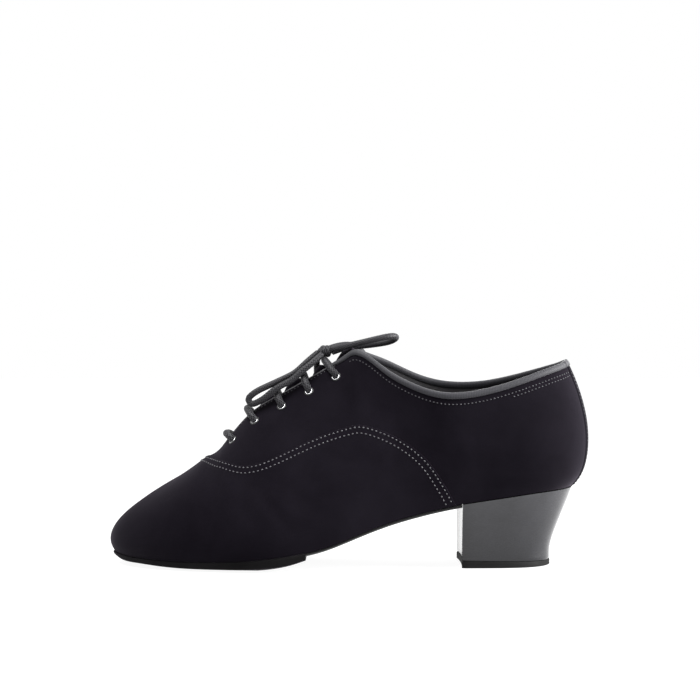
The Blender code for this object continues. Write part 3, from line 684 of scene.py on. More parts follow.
def ramp(tree, value, stops):
    """Colour ramp: stops are (place, colour or grey)."""
    made = tree.nodes.new("ShaderNodeValToRGB")
    line = made.color_ramp
    while len(line.elements) < len(stops):
        line.elements.new(0.5)
    for element, (place, colour) in zip(line.elements, stops):
        element.position = place
        grey = (colour,) * 3 if isinstance(colour, (int, float)) else colour
        element.color = (*grey, 1)
    tree.links.new(value, made.inputs["Fac"])
    return made.outputs["Color"]


def mixed(tree, first, second, share, how="MIX"):
    made = tree.nodes.new("ShaderNodeMix")
    made.data_type = "RGBA"
    made.blend_type = how
    made.inputs[0].default_value = share
    tree.links.new(first, made.inputs[6])
    tree.links.new(second, made.inputs[7])
    return made.outputs[2]


def calculated(tree, operation, *values):
    made = tree.nodes.new("ShaderNodeMath")
    made.operation = operation
    for socket, value in zip(made.inputs, values):
        tree.links.new(value, socket)
    return made.outputs["Value"]


def bumped(tree, shader, height, strength, distance):
    made = tree.nodes.new("ShaderNodeBump")
    made.inputs["Strength"].default_value = strength
    made.inputs["Distance"].default_value = distance
    tree.links.new(height, made.inputs["Height"])
    tree.links.new(made.outputs["Normal"], shader.inputs["Normal"])


def nubuck(name, dark, light, sheen=0.22, nap=0.35):
    """Napped leather: fine fibres, soft nap patches, matte, paler where light grazes it."""
    made, tree, shader = nodes_of(name)
    place = coordinates(tree)
    patches = noise(tree, place, 26, 5, 0.6, 0.4)
    fibres = noise(tree, stretched(tree, place, (1.0, 1.0, 1.7)), 1500, 6, 0.75)
    specks = noise(tree, place, 3800, 2, 0.8)
    tone = ramp(tree, patches, ((0.34, dark), (0.68, light)))
    speck = ramp(tree, specks, ((0.45, 0.80), (0.62, 1.0), (0.76, 1.9)))
    colour = mixed(tree, tone, speck, 1.0, "MULTIPLY")
    tree.links.new(colour, shader.inputs["Base Color"])
    rough = ramp(tree, fibres, ((0.3, 0.86), (0.7, 1.0)))
    tree.links.new(rough, shader.inputs["Roughness"])
    shader.inputs["Specular IOR Level"].default_value = 0.06
    shader.inputs["Sheen Weight"].default_value = sheen
    shader.inputs["Sheen Roughness"].default_value = 0.40
    shader.inputs["Sheen Tint"].default_value = (0.63, 0.56, 0.68, 1)
    height = mixed(tree, fibres, patches, 0.25)
    bumped(tree, shader, height, nap, 0.00022)
    return made


def tape(name):
    """Ribbed tape folded over the collar edge, with painted shade in the grooves between its ribs."""
    made, tree, shader = nodes_of(name)
    place = coordinates(tree, "UV")
    ribs = tree.nodes.new("ShaderNodeTexWave")
    ribs.bands_direction = "X"
    ribs.wave_profile = "SIN"
    ribs.inputs["Scale"].default_value = 260
    tree.links.new(place, ribs.inputs["Vector"])
    fuzz = noise(tree, coordinates(tree), 2200, 4, 0.7)
    # Painted shade: darker colour in the grooves between the ribs and paler on their tops, in step with the rib bump.
    colour = ramp(tree, ribs.outputs["Fac"], ((0.1, (0.012, 0.012, 0.015)), (0.9, (0.026, 0.025, 0.031))))
    # Random fuzz multiplied over the painted rib shade.
    fuzzed_rib_shade = mixed(tree, colour, ramp(tree, fuzz, ((0.35, 0.7), (0.7, 1.3))), 0.8, "MULTIPLY")
    tree.links.new(fuzzed_rib_shade, shader.inputs["Base Color"])
    shader.inputs["Roughness"].default_value = 0.62
    shader.inputs["Specular IOR Level"].default_value = 0.30
    shader.inputs["Sheen Weight"].default_value = 0.25
    shader.inputs["Sheen Roughness"].default_value = 0.4
    bumped(tree, shader, mixed(tree, ribs.outputs["Fac"], fuzz, 0.3), 0.5, 0.00012)
    return made


def smooth_leather(name, dark, light, roughness, specular, bump=0.25, coat=0.0, scale=900):
    made, tree, shader = nodes_of(name)
    place = coordinates(tree)
    cells = tree.nodes.new("ShaderNodeTexVoronoi")
    cells.feature = "DISTANCE_TO_EDGE"
    cells.inputs["Scale"].default_value = scale
    tree.links.new(place, cells.inputs["Vector"])
    wear = noise(tree, place, 40, 5, 0.6)
    tone = ramp(tree, wear, ((0.3, dark), (0.7, light)))
    tree.links.new(tone, shader.inputs["Base Color"])
    rough = ramp(tree, wear, ((0.3, roughness - 0.07), (0.75, roughness + 0.07)))
    tree.links.new(rough, shader.inputs["Roughness"])
    shader.inputs["Specular IOR Level"].default_value = specular
    shader.inputs["Coat Weight"].default_value = coat
    shader.inputs["Coat Roughness"].default_value = 0.25
    pores = ramp(tree, cells.outputs["Distance"], ((0.0, 0.0), (0.12, 1.0)))
    bumped(tree, shader, pores, bump, 0.00008)
    return made


def lacquer(name):
    """Sprayed heel: deep black gloss with fine hairline scratches, a faint orange peel and painted shade that darkens
    it towards the bottom.
    """
    made, tree, shader = nodes_of(name)
    place = coordinates(tree)
    hair = noise(tree, stretched(tree, place, (60, 60, 1400)), 6, 3, 0.7)
    peel = noise(tree, place, 420, 2, 0.5)
    dust = noise(tree, place, 60, 6, 0.7)
    apart = tree.nodes.new("ShaderNodeSeparateXYZ")
    tree.links.new(place, apart.inputs[0])
    # Painted shade: the base colour runs from near black at the bottom of the heel up to a paler grey at the top.
    rising = ramp(tree, apart.outputs[2], ((0.002, (0.005, 0.005, 0.007)), (0.044, (0.030, 0.030, 0.034))))
    # Random dust mottling multiplied over the painted shade.
    tone = mixed(tree, rising, ramp(tree, dust, ((0.35, 0.8), (0.75, 1.25))), 1.0, "MULTIPLY")
    tree.links.new(tone, shader.inputs["Base Color"])
    rough = ramp(tree, hair, ((0.35, 0.20), (0.75, 0.34)))
    tree.links.new(rough, shader.inputs["Roughness"])
    shader.inputs["Specular IOR Level"].default_value = 0.20
    shader.inputs["Coat Weight"].default_value = 0.60
    shader.inputs["Coat Roughness"].default_value = 0.10
    bumped(tree, shader, peel, 0.08, 0.00006)
    return made


def plain(name, dark, light, roughness, metallic=0.0, specular=0.5, scale=700, bump=0.1):
    made, tree, shader = nodes_of(name)
    grain = noise(tree, coordinates(tree), scale, 5, 0.65)
    tone = ramp(tree, grain, ((0.3, dark), (0.72, light)))
    tree.links.new(tone, shader.inputs["Base Color"])
    rough = ramp(tree, grain, ((0.3, roughness * 0.85), (0.7, roughness * 1.15)))
    tree.links.new(rough, shader.inputs["Roughness"])
    shader.inputs["Metallic"].default_value = metallic
    shader.inputs["Specular IOR Level"].default_value = specular
    bumped(tree, shader, grain, bump, 0.0001)
    return made


def lace_yarn(name):
    """Braided polyester: dark painted shade between the yarns, and a dry shine painted as a highlight on their crests.
    """
    made, tree, shader = nodes_of(name)
    fibres = noise(tree, coordinates(tree), 2600, 3, 0.7)
    apart = tree.nodes.new("ShaderNodeSeparateXYZ")
    tree.links.new(coordinates(tree, "UV"), apart.inputs[0])
    run, turn = apart.outputs[1], apart.outputs[0]
    # Painted highlight on the yarn crests and painted shade in the grooves between them, from the braid's pattern in
    # UV.
    one = calculated(tree, "COSINE", calculated(tree, "ADD", run, turn))
    two = calculated(tree, "COSINE", calculated(tree, "SUBTRACT", run, turn))
    painted_crest_light_mask = calculated(tree, "MAXIMUM", one, two)
    # Base colour from near black in the painted shade to grey in the painted highlight.
    yarn_shade_and_highlight = ramp(tree, painted_crest_light_mask, ((0.15, (0.002, 0.002, 0.0025)), (0.92, (0.040, 0.039, 0.044))))
    worn = ramp(tree, fibres, ((0.3, 0.55), (0.75, 1.5)))
    tree.links.new(mixed(tree, yarn_shade_and_highlight, worn, 1.0, "MULTIPLY"), shader.inputs["Base Color"])
    shader.inputs["Roughness"].default_value = 0.50
    shader.inputs["Specular IOR Level"].default_value = 0.18
    shader.inputs["Sheen Weight"].default_value = 0.03
    bumped(tree, shader, fibres, 0.3, 0.00012)
    return made


M_NUBUCK = nubuck("black_nubuck", (0.0028, 0.0019, 0.0040), (0.0060, 0.0047, 0.0078), 0.115)
M_STRIP = nubuck("black_nubuck_strip", (0.0028, 0.0022, 0.0040), (0.0048, 0.0040, 0.0062), 0.06)
# Painted highlight: pale grey for the folded top edge of the facings and collar, where light catches the fold.
M_EDGE_HIGHLIGHT = smooth_leather("painted_edge_highlight", (0.060, 0.058, 0.062), (0.095, 0.092, 0.098), 0.55, 0.35)
M_TAPE = tape("grey_tape_painted_rib_shade")
M_LINING = smooth_leather("dark_lining", (0.020, 0.019, 0.021), (0.030, 0.028, 0.031), 0.62, 0.30, 0.3)
M_SOCK = smooth_leather("insole_sock", (0.022, 0.021, 0.022), (0.034, 0.032, 0.033), 0.66, 0.28, 0.35)
M_SUEDE = nubuck("sole_suede", (0.004, 0.0038, 0.004), (0.011, 0.0105, 0.011), 0.08, 0.9)
M_WAIST = smooth_leather("waist_leather", (0.004, 0.004, 0.004), (0.007, 0.007, 0.007), 0.55, 0.15, 0.2, 0.03)
M_LACQUER = lacquer("black_lacquer")
M_TOP_PIECE = plain("top_piece_rubber", (0.004, 0.004, 0.004), (0.009, 0.009, 0.009), 0.7, 0.0, 0.12)
M_NICKEL = plain("bright_nickel", (0.80, 0.80, 0.81), (0.92, 0.92, 0.93), 0.22, 1.0, 0.5, 1200, 0.02)
M_ENAMEL = plain("eyelet_enamel", (0.008, 0.008, 0.009), (0.014, 0.014, 0.015), 0.42, 0.0, 0.4)
M_LACE = lace_yarn("black_braid")
M_THREAD = plain("grey_thread", (0.038, 0.037, 0.042), (0.095, 0.093, 0.100), 0.55, 0.0, 0.5, 2600, 0.3)
M_EDGE_THREAD = plain("dark_thread", (0.020, 0.020, 0.023), (0.058, 0.057, 0.063), 0.6, 0.0, 0.4, 2600, 0.3)
M_AGLET = plain("aglet_film", (0.010, 0.010, 0.011), (0.018, 0.018, 0.019), 0.25, 0.0, 0.5)


def crowded(low, high, count, at, width, extra):
    """Even values with more of them round one place."""
    even = np.linspace(low, high, count)
    near = np.linspace(max(low, at - width), min(high, at + width), extra)
    return np.unique(np.concatenate((even, near)).round(6))


def form(points, normals, side):
    """Soft swell and hollow of the leather over the last, with the main creases, as offsets."""
    x, z = points[..., 0], points[..., 2]
    offset = 0.00010 * np.sin(x * 95 + z * 60) * np.sin(z * 120 - x * 40 + side)
    for start, end, width, depth in CREASES[side]:
        a, b = np.array(start), np.array(end)
        line = b - a
        flat = np.stack((x, z), axis=-1) - a
        share = np.clip((flat @ line) / (line @ line), 0, 1)
        away = np.linalg.norm(flat - share[..., None] * line, axis=-1)
        fade = np.sin(math.pi * np.clip(0.08 + 0.84 * share, 0, 1)) ** 0.7
        offset = offset - depth * fade * np.exp(-(away / width) ** 2)
        offset = offset + 0.45 * depth * fade * np.exp(-((away - 1.9 * width) / width) ** 2)
    return offset


# Creases: ends as X and Z seen from the side; half width; depth
CREASES = {
    LATERAL: (
        ((-0.052, 0.047), (-0.030, 0.022), 0.0032, 0.00022),
        ((-0.064, 0.041), (-0.047, 0.020), 0.0035, 0.00018),
        ((-0.040, 0.052), (-0.012, 0.030), 0.0040, 0.00016),
        ((0.050, 0.080), (0.098, 0.074), 0.0050, 0.00020),
        ((0.046, 0.066), (0.090, 0.060), 0.0060, 0.00014),
    ),
    MEDIAL: (
        ((-0.054, 0.046), (-0.034, 0.022), 0.0032, 0.00024),
        ((-0.066, 0.040), (-0.050, 0.021), 0.0034, 0.00018),
        ((0.000, 0.062), (0.026, 0.044), 0.0050, 0.00022),
        ((0.048, 0.080), (0.096, 0.072), 0.0050, 0.00020),
    ),
}


def panel(side_ribs, shares_of, base):
    """Points over a panel at an offset from the skin: a row for each rib, from the foot to the top."""
    columns = []
    for side, ribs in side_ribs:
        shares = np.array([shares_of(rib, side) for rib in ribs])
        points, normals, _, _ = skin_frames(side, ribs, shares)
        offset = base + form(points, normals, side)
        rows = points + offset[..., None] * normals
        columns.append(rows)
    return np.concatenate(columns, axis=0)


def under_edge(rows, depth):
    """Adds points before each row's first one that turn under the feather edge."""
    foot = rows[:, 0]
    inward = unit(foot * (0, -0.8, 0) + 1e-9)
    turned = foot + 0.0012 * inward
    turned[:, 2] -= depth
    return np.concatenate((turned[:, None], rows), axis=1)


def upper():
    seam_end = min(seam_table(side)[0][-1] for side in (LATERAL, MEDIAL))
    vamp_ribs = crowded(0.0, seam_end, 250, SEAM_START_RIB + 0.006, 0.012, 60)
    vamp_sides = ((LATERAL, vamp_ribs[::-1]), (MEDIAL, vamp_ribs[1:]))
    steps = np.linspace(0, 1, 96)

    def vamp_shares(rib, side):
        return steps * seam_share(rib, side)

    body = Sheets()
    rim = ((-0.00006, 0.00010), (-0.00022, 0.00018), (-STEP - 0.0002, 0.00020))
    vamp = panel(vamp_sides, vamp_shares, 0.0)
    body.grid(under_edge(vamp, 0.0002))
    seam_sides = ((LATERAL, vamp_ribs[::-1][vamp_ribs[::-1] > SEAM_START_RIB]),
                  (MEDIAL, vamp_ribs[vamp_ribs > SEAM_START_RIB]))
    for side, ribs in seam_sides:
        shares = np.array([seam_share(rib, side) for rib in ribs])
        points, normals, _, _ = skin_frames(side, ribs, shares)
        points = points + form(points, normals, side)[..., None] * normals
        tangents = unit(np.gradient(points, axis=0))
        across = unit(np.cross(normals, tangents))
        across *= np.sign(across[:, 2:3] + 1e-9)
        rows = [points] + [points + out * normals + rise * across for out, rise in rim]
        body.grid(np.stack(rows, axis=1), flip=side == MEDIAL)

    quarter_ribs = crowded(SEAM_START_RIB, 1.0, 300, SEAM_START_RIB + 0.006, 0.012, 60)
    quarter_sides = ((LATERAL, quarter_ribs), (MEDIAL, quarter_ribs[::-1][1:]))

    def quarter_shares(rib, side):
        start = max(0.0, seam_share(rib, side) - 0.03)
        return start + steps * (1 - start)

    quarter = panel(quarter_sides, quarter_shares, -STEP)
    body.grid(quarter)
    edge_ribs = np.linspace(THROAT + 0.0005, 1.0, 300)
    edge_sides = ((LATERAL, edge_ribs), (MEDIAL, edge_ribs[::-1][1:]))
    profile = ((-STEP - 0.0001, -0.0009), (-STEP + 0.0001, -0.0008), (-STEP + 0.00014, -0.0004),
               (-STEP + 0.00004, 0.0001), (-STEP - 0.00022, 0.00034), (-STEP - 0.0005, 0.00040),
               (-WALL + 0.00035, 0.00034), (-WALL, 0.0001))
    columns = []
    for side, ribs in edge_sides:
        points, normals, up, _ = skin_frames(side, ribs, np.ones(len(ribs)))
        columns.append(np.stack([points + out * normals + rise * up for out, rise in profile], axis=1))
    # Faces of kind 1 take the pale painted highlight along the folded top edge.
    body.grid(np.concatenate(columns), kind=1)
    made = body.piece("upper_panels", [M_NUBUCK, M_EDGE_HIGHLIGHT], "nubuck", merge=0.00008)
    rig.replaces(made, "upper")
    return made


def lining():
    """Inside of the upper, with the wall's thickness taken from the skin."""
    ribs = np.linspace(0, 1, 180)
    sides = ((LATERAL, ribs), (MEDIAL, ribs[::-1][1:]))
    steps = np.linspace(0.0, 1, 44)
    inside = Sheets()
    inside.grid(panel(sides, lambda rib, side: steps, -WALL), flip=True)
    return inside.piece("upper_lining", M_LINING, "lining", merge=0.0002)


def back_strip():
    """Narrow strip over the back seam, a little proud of the quarters."""
    ribs = np.linspace(BACK_STRIP_START, 1.0, 18)
    sides = ((LATERAL, ribs), (MEDIAL, ribs[::-1][1:]))
    steps = np.linspace(0.0, 0.995, 70)
    rows = panel(sides, lambda rib, side: steps, 0.00005)
    lift = np.ones(len(rows))
    lift[0] = lift[-1] = 0.0
    lift[1] = lift[-2] = 0.85
    normals = unit(np.cross(np.gradient(rows, axis=0), np.gradient(rows, axis=1)))
    if np.mean(normals[..., 0]) < 0:
        normals = -normals
    rows = rows - (1 - lift)[:, None, None] * (STEP + 0.0002) * normals
    strip = Sheets()
    strip.grid(rows)
    return strip.piece("back_strip", M_STRIP, "nubuck")


# Stitch: places along it from -1 to 1; shares of its radius there
STITCH_SHAPE = (
    (-1.0, 0.25), (-0.86, 0.72), (-0.5, 1.0), (0.0, 1.08), (0.5, 1.0), (0.86, 0.72), (1.0, 0.25),
)


def stitches(lines, name, finish, pitch, length, radius):
    """Thread along lines of (points, normals); each stitch dips into its holes at both ends."""
    angles = np.linspace(0, 2 * math.pi, 8, endpoint=False)
    made = Sheets()
    for points, normals in lines:
        runs = lengths_along(points)
        count = int(runs[-1] / pitch)
        for k in range(count):
            middle = (k + 0.5) * runs[-1] / count
            at = middle + np.array([place for place, _ in STITCH_SHAPE]) * 0.5 * length
            route = np.stack([np.interp(at, runs, points[:, axis]) for axis in range(3)], axis=1)
            up = unit(np.array([np.interp(middle, runs, normals[:, axis]) for axis in range(3)]))
            tangent = unit(route[-1] - route[0])
            side = np.cross(up, tangent)
            rings = []
            for (place, size), centre in zip(STITCH_SHAPE, route):
                centre = centre + up * (STITCH_LIFT - 1.3 * radius * abs(place) ** 3)
                rings.append(centre + radius * size * (np.cos(angles)[:, None] * side
                                                       + np.sin(angles)[:, None] * up))
            made.grid(np.array(rings), ring=True)
    return made.piece(name, finish, "lace")


def line_on(side, ribs, shares, offset):
    points, normals, _, _ = skin_frames(side, ribs, shares)
    return points + (offset + form(points, normals, side))[:, None] * normals, normals


def seam_line(side, distance):
    """Row of stitches on the vamp at a distance below the wing seam, from the middle of the ridge."""
    ribs, shares = moved_over(side, *seam_table(side), -distance)
    keep = (shares > 0.005) & (shares < 0.995)
    ribs, shares = ribs[keep], shares[keep]
    ribs = np.concatenate((ribs[:1], ribs))
    shares = np.concatenate(([1.0], shares))
    return line_on(side, ribs, shares, 0.0)


def even_line(side, distance, first, last, offset=-STEP):
    """Row of stitches at a distance below the top edge."""
    ribs = np.linspace(first, last, 160)
    shares = np.array([share_below_edge(rib, side, distance) for rib in ribs])
    return line_on(side, ribs, shares, offset)


def all_stitches():
    seams, edges = [], []
    for side in (LATERAL, MEDIAL):
        seams += [seam_line(side, distance) for distance in SEAM_ROWS]
        edges.append(even_line(side, FACING_ROW, THROAT + 0.012, PEAK - 0.012))
        edges.append(even_line(side, COLLAR_ROW, PEAK - 0.012, BACK_STRIP_START - 0.004))
        edges.append(even_line(side, COLLAR_ROW + 0.0022, 0.80, BACK_STRIP_START - 0.004))
        ribs = np.full(120, BACK_STRIP_START + 0.008)
        shares = np.linspace(0.02, 0.93, 120)
        edges.append(line_on(side, ribs, shares, 0.00005))
    stitches(seams, "seam_stitches", M_THREAD, *SEAM_STITCH)
    stitches(edges, "edge_stitches", M_EDGE_THREAD, *EDGE_STITCH)


def collar_tape():
    """Tape folded over the collar edge, tucked at both peaks."""
    ribs = np.linspace(PEAK - 0.038, 1.0, 240)
    columns, runs = [], []
    inner = -WALL - 0.0006
    for side, line in ((LATERAL, ribs), (MEDIAL, ribs[::-1][1:])):
        for rib in line:
            outer = -STEP + 0.0004 if rib < BACK_STRIP_START - 0.01 else 0.0004
            fade = min(1.0, (rib - ribs[0]) / 0.02 + 0.15)
            depth = TAPE_DEPTH * (0.55 + 0.45 * fade)
            low = share_below_edge(rib, side, depth)
            half = share_below_edge(rib, side, 0.5 * depth)
            near = share_below_edge(rib, side, 0.0006)
            shares = [low, low, half, near]
            outs = [outer - 0.0004, outer + 0.00025, outer + 0.00045, outer + 0.00035]
            points, normals, up, _ = skin_frames(side, [rib] * 4, shares)
            ring = list(points + np.array(outs)[:, None] * normals)
            top, normal, rise = points[3], normals[3], up[3]
            edge = skin(side, [rib], [1.0])[0]
            bend = 0.5 * (outer - inner)
            middle = 0.5 * (outer + inner)
            for angle in np.linspace(30, 150, 7):
                turn = math.radians(angle)
                ring.append(edge + (middle + (bend + 0.0002) * math.cos(turn)) * normal
                            + (0.0001 + 0.0008 * math.sin(turn)) * rise)
            back, back_normals, _, _ = skin_frames(side, [rib] * 3, [near, half, low])
            back_outs = inner + np.array((-0.0002, -0.0003, 0.0002))
            ring.extend(back + back_outs[:, None] * back_normals)
            columns.append(ring)
    rows = np.array(columns)
    made = Sheets()
    made.grid(rows, scale=(0.0010, 0.0008))
    piece = made.piece("collar_tape", M_TAPE, "ribbon", with_uv=True)
    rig.replaces(piece, "collar_binding")
    return piece


def tongue_crown(rib):
    """Height of the tongue's crown over the facings' edges: it swells between the bars."""
    bars = [rib_on_facing(FIRST_EYELET + k * EYELET_SPACING - BAR_LEANS[k]) for k in range(EYELETS)]
    nearest = min(abs(rib - at) for at in bars)
    rising = np.clip((rib - bars[1]) / (bars[2] - bars[1]), 0.25, 1)
    swell = TONGUE_SWELL * rising * np.clip((nearest - 0.004) / 0.008, 0, 1) ** 0.5
    risen = np.clip((rib - THROAT) / TONGUE_CROWN_RIBS - 1, 0, 1)
    return risen * (swell + TONGUE_CROWN) - (1 - risen) * (WALL + TONGUE_GAP)


def tongue():
    """Padded tongue under the facings, swelling up between the bars of the lace."""
    rows = []
    across = np.linspace(0, 1, 17)[1:-1, None]
    for rib in np.linspace(THROAT - 0.02, PEAK - 0.012, 150):
        nearing = np.clip((rib - PEAK + 0.10) / 0.05, 0, 1)
        under = -(WALL + TONGUE_GAP + (BINDING_THICKNESS + GAP) * nearing)
        halves = []
        for side in (LATERAL, MEDIAL):
            shares = [share_below_edge(rib, side, reach) for reach in np.linspace(TONGUE_REACH, 0.001, 14)]
            points, normals, _, _ = skin_frames(side, [rib] * 14, shares)
            halves.append(points + under * normals)
        first, last = halves[0][-1], halves[1][-1]
        middle = first + (last - first) * across
        height = 0.5 * (top_edge(rib, LATERAL)[2] + top_edge(rib, MEDIAL)[2]) + tongue_crown(rib)
        rise = np.sin(math.pi * across[:, 0]) ** 0.55
        middle[:, 2] += rise * (height - 0.5 * (first[2] + last[2]))
        rows.append(np.concatenate((halves[0], middle, halves[1][::-1])))
    outer = np.array(rows)
    normals = unit(np.cross(np.gradient(outer, axis=0), np.gradient(outer, axis=1)))
    if np.mean(normals[..., 2]) < 0:
        normals = -normals
    inner = outer - TONGUE_THICKNESS * normals
    made = Sheets()
    ring = np.concatenate((outer, inner[:, ::-1]), axis=1)
    made.grid(ring, ring=True, flip=True)
    piece = made.piece("tongue_pad", M_NUBUCK, "nubuck")
    close_ends(piece)
    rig.replaces(piece, "tongue")
    return piece


def ring_across(rib, inset, levels, square=False):
    """Ring across the shoe: each level gives an inset from the outline and a height function."""
    middle = 0.5 * (feather(rib, MEDIAL)[1] - feather(rib, LATERAL)[1])
    halves = []
    for side in (LATERAL, MEDIAL):
        half = [feather(rib, side, min(inset + more, 0.97 * middle)) for more, _ in levels]
        for point, (_, height) in zip(half, levels):
            if square:
                point[0] = feather(rib, side)[0]
            point[2] = height(point[0])
        halves.append(half)
    return halves[0] + halves[1][::-1]


def close_ends(piece):
    """Fills a piece's open ends and turns its faces outwards."""
    build = bmesh.new()
    build.from_mesh(piece.data)
    bmesh.ops.holes_fill(build, edges=[e for e in build.edges if e.is_boundary], sides=0)
    bmesh.ops.recalc_face_normals(build, faces=build.faces)
    if build.calc_volume(signed=True) < 0:
        bmesh.ops.reverse_faces(build, faces=build.faces)
    build.to_mesh(piece.data)
    build.free()


def closed_plate(name, rings, finish, slot):
    """Closed piece through rings, with crisp edges where its faces turn sharply."""
    made = Sheets()
    made.grid(np.array(rings), ring=True)
    piece = made.piece(name, finish, slot)
    close_ends(piece)
    piece.data.shade_smooth()
    piece.data.set_sharp_from_angle(angle=math.radians(32))
    return piece


def insole():
    ribs = np.linspace(*INSOLE_ENDS, 110)
    middle = [0.5 * (feather(rib, MEDIAL)[1] - feather(rib, LATERAL)[1]) for rib in ribs]
    rings = []
    for rib, half in zip(ribs, middle):
        levels = [(0.0, feather_height), (0.0, lambda x: feather_height(x) + 0.7 * INSOLE_THICKNESS),
                  (0.0006, lambda x: feather_height(x) + INSOLE_THICKNESS)]
        for share in (0.2, 0.45, 0.7, 0.94):
            dish = 0.0010 * share**2
            levels.append((share * half, lambda x, dish=dish: feather_height(x) + INSOLE_THICKNESS - dish))
        rings.append(ring_across(rib, WALL + INSOLE_GAP, levels))
    piece = closed_plate("insole_sock", rings, M_SOCK, "lining")
    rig.replaces(piece, "insole")
    return piece


def tread(column):
    def height(x):
        share = np.clip((x - FEATHER_TOE_X) / (TREAD_END - FEATHER_TOE_X), 0, 1)
        return max(0.0, HEEL_HEIGHT * spline(TREAD, column, share))
    return height


def outsole():
    """Suede forefoot sole: a thin edge, a worn rounding and a napped flat face."""
    edge, middle = tread(1), tread(2)
    ribs = np.linspace(SOLE_FIRST_RIB, rib_at(TREAD_END), TREAD_STEPS)

    def top(x):
        return feather_height(x) - GAP

    def between(high, low, share):
        return lambda x: high(x) + (low(x) - high(x)) * share

    def smooth(share):
        return share * share * (3 - 2 * share)

    levels = [(0.0006, top), (0.0, between(top, edge, 0.16)), (-0.0001, between(top, edge, 0.5)),
              (0.0, between(top, edge, 0.86)), (0.0005, edge)]
    for share in (0.12, 0.25, 0.4, 0.55, 0.7, 0.85, 1.0):
        inset = 0.0005 + share * (SOLE_FLAT_INSET - 0.0005)
        levels.append((inset, between(edge, middle, smooth(share) ** 0.8)))
    levels.append((0.03, middle))
    rings = [ring_across(rib, -SOLE_LIP, levels, rib == ribs[-1]) for rib in ribs]
    piece = closed_plate("suede_sole", rings, M_SUEDE, "suede")
    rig.replaces(piece, "outsole")
    return piece


def waist_sole():
    ribs = np.linspace(rib_at(TREAD_END + GAP), rib_at(HEEL_BREAST - GAP), 80)

    def under(share):
        return lambda x: feather_height(x) - GAP - share * WAIST_THICKNESS

    levels = ((0.0004, under(0.0)), (0.0, under(0.14)), (0.0002, under(0.4)), (WAIST_INSET, under(0.66)),
              (2 * WAIST_INSET, under(0.86)), (3 * WAIST_INSET, under(0.95)),
              (5 * WAIST_INSET, under(1.0)), (0.03, under(1.0)))
    rings = [ring_across(rib, 0.0, levels, rib in (ribs[0], ribs[-1])) for rib in ribs]
    piece = closed_plate("waist_leather", rings, M_WAIST, "waist_leather")
    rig.replaces(piece, "waist_sole")
    return piece


def heel_outline(level, height, inset=0.0):
    """A level section of the heel: straight breast with rounded corners, round back."""
    seat_back = FEATHER_BACK_X - HEEL_BREAST
    ribs = np.concatenate((np.linspace(rib_at(HEEL_BREAST), 0.9, 26), np.linspace(0.9, 0.9985, 26)[1:]))
    lateral, medial = [], []
    for rib in ribs:
        for side, line in ((LATERAL, lateral), (MEDIAL, medial)):
            point = feather(rib, side)
            behind = (point[0] - HEEL_BREAST) / seat_back
            x = HEEL_BREAST + seat_back * behind * spline(HEEL_SHAPE, 1, level)
            y = point[1] * spline(HEEL_SHAPE, 2, level)
            line.append(np.array((x, y, height(point[0]))))
    ring = np.array(lateral + medial[::-1])
    corner = 0.0011
    for row in ring:
        near = row[0] - HEEL_BREAST
        if near < corner:
            row[1] *= 1 - 0.03 * (1 - near / corner) ** 2
    if inset:
        centre = np.array((0.5 * (HEEL_BREAST + FEATHER_BACK_X), 0.0))
        away = ring[:, :2] - centre
        ring[:, :2] -= inset * away / np.linalg.norm(away, axis=1, keepdims=True)
    return ring


def breast_rows(ring, hollow):
    """Points across the breast from the medial end of a ring back to its lateral end."""
    first, last = ring[-1], ring[0]
    shares = np.linspace(0, 1, 18)[1:-1]
    rows = [first + (last - first) * share for share in shares]
    for row, share in zip(rows, shares):
        row[0] += hollow * (1 - (2 * share - 1) ** 2)
    return rows


def top_piece_top(x):
    back = (x - HEEL_BREAST) / (FEATHER_BACK_X - HEEL_BREAST)
    return TOP_PIECE_HEIGHT - TOP_PIECE_SLOPE * back


def heel():
    rings = []
    for level in np.linspace(0, 1, 40):
        inset = 0.0003 * (1 - min(1.0, level / 0.02)) + 0.0002 * max(0.0, (level - 0.98) / 0.02)

        def height(x, level=level):
            bottom = top_piece_top(x) + GAP
            return bottom + level * (feather_height(x) - GAP - bottom)

        ring = heel_outline(level, height, inset)
        rings.append(np.array(list(ring) + breast_rows(ring, 0.0009)))
    piece = closed_plate("heel_block", rings, M_LACQUER, "heel_lacquer")
    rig.replaces(piece, "heel")
    return piece


def heel_top_piece():
    levels = ((0.0, 0.0004), (0.08, 0.0), (0.9, 0.0), (1.0, 0.0002))
    rings = []
    for share, inset in levels:
        def height(x, share=share):
            return share * top_piece_top(x)
        ring = heel_outline(0.0, height, inset - 0.0002)
        rings.append(np.array(list(ring) + breast_rows(ring, 0.0009)))
    piece = closed_plate("heel_top_piece_rubber", rings, M_TOP_PIECE, "top_piece")
    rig.replaces(piece, "heel_top_piece")
    return piece


def eyelet_place(side, number):
    """An eyelet's centre on the skin, with the directions out of the skin and up it."""
    rib = rib_on_facing(FIRST_EYELET + (number - 1) * EYELET_SPACING)
    share = share_below_edge(rib, side, EYELET_SETBACK)
    points, normals, up, _ = skin_frames(side, [rib], [share])
    return points[0], normals[0], up[0]


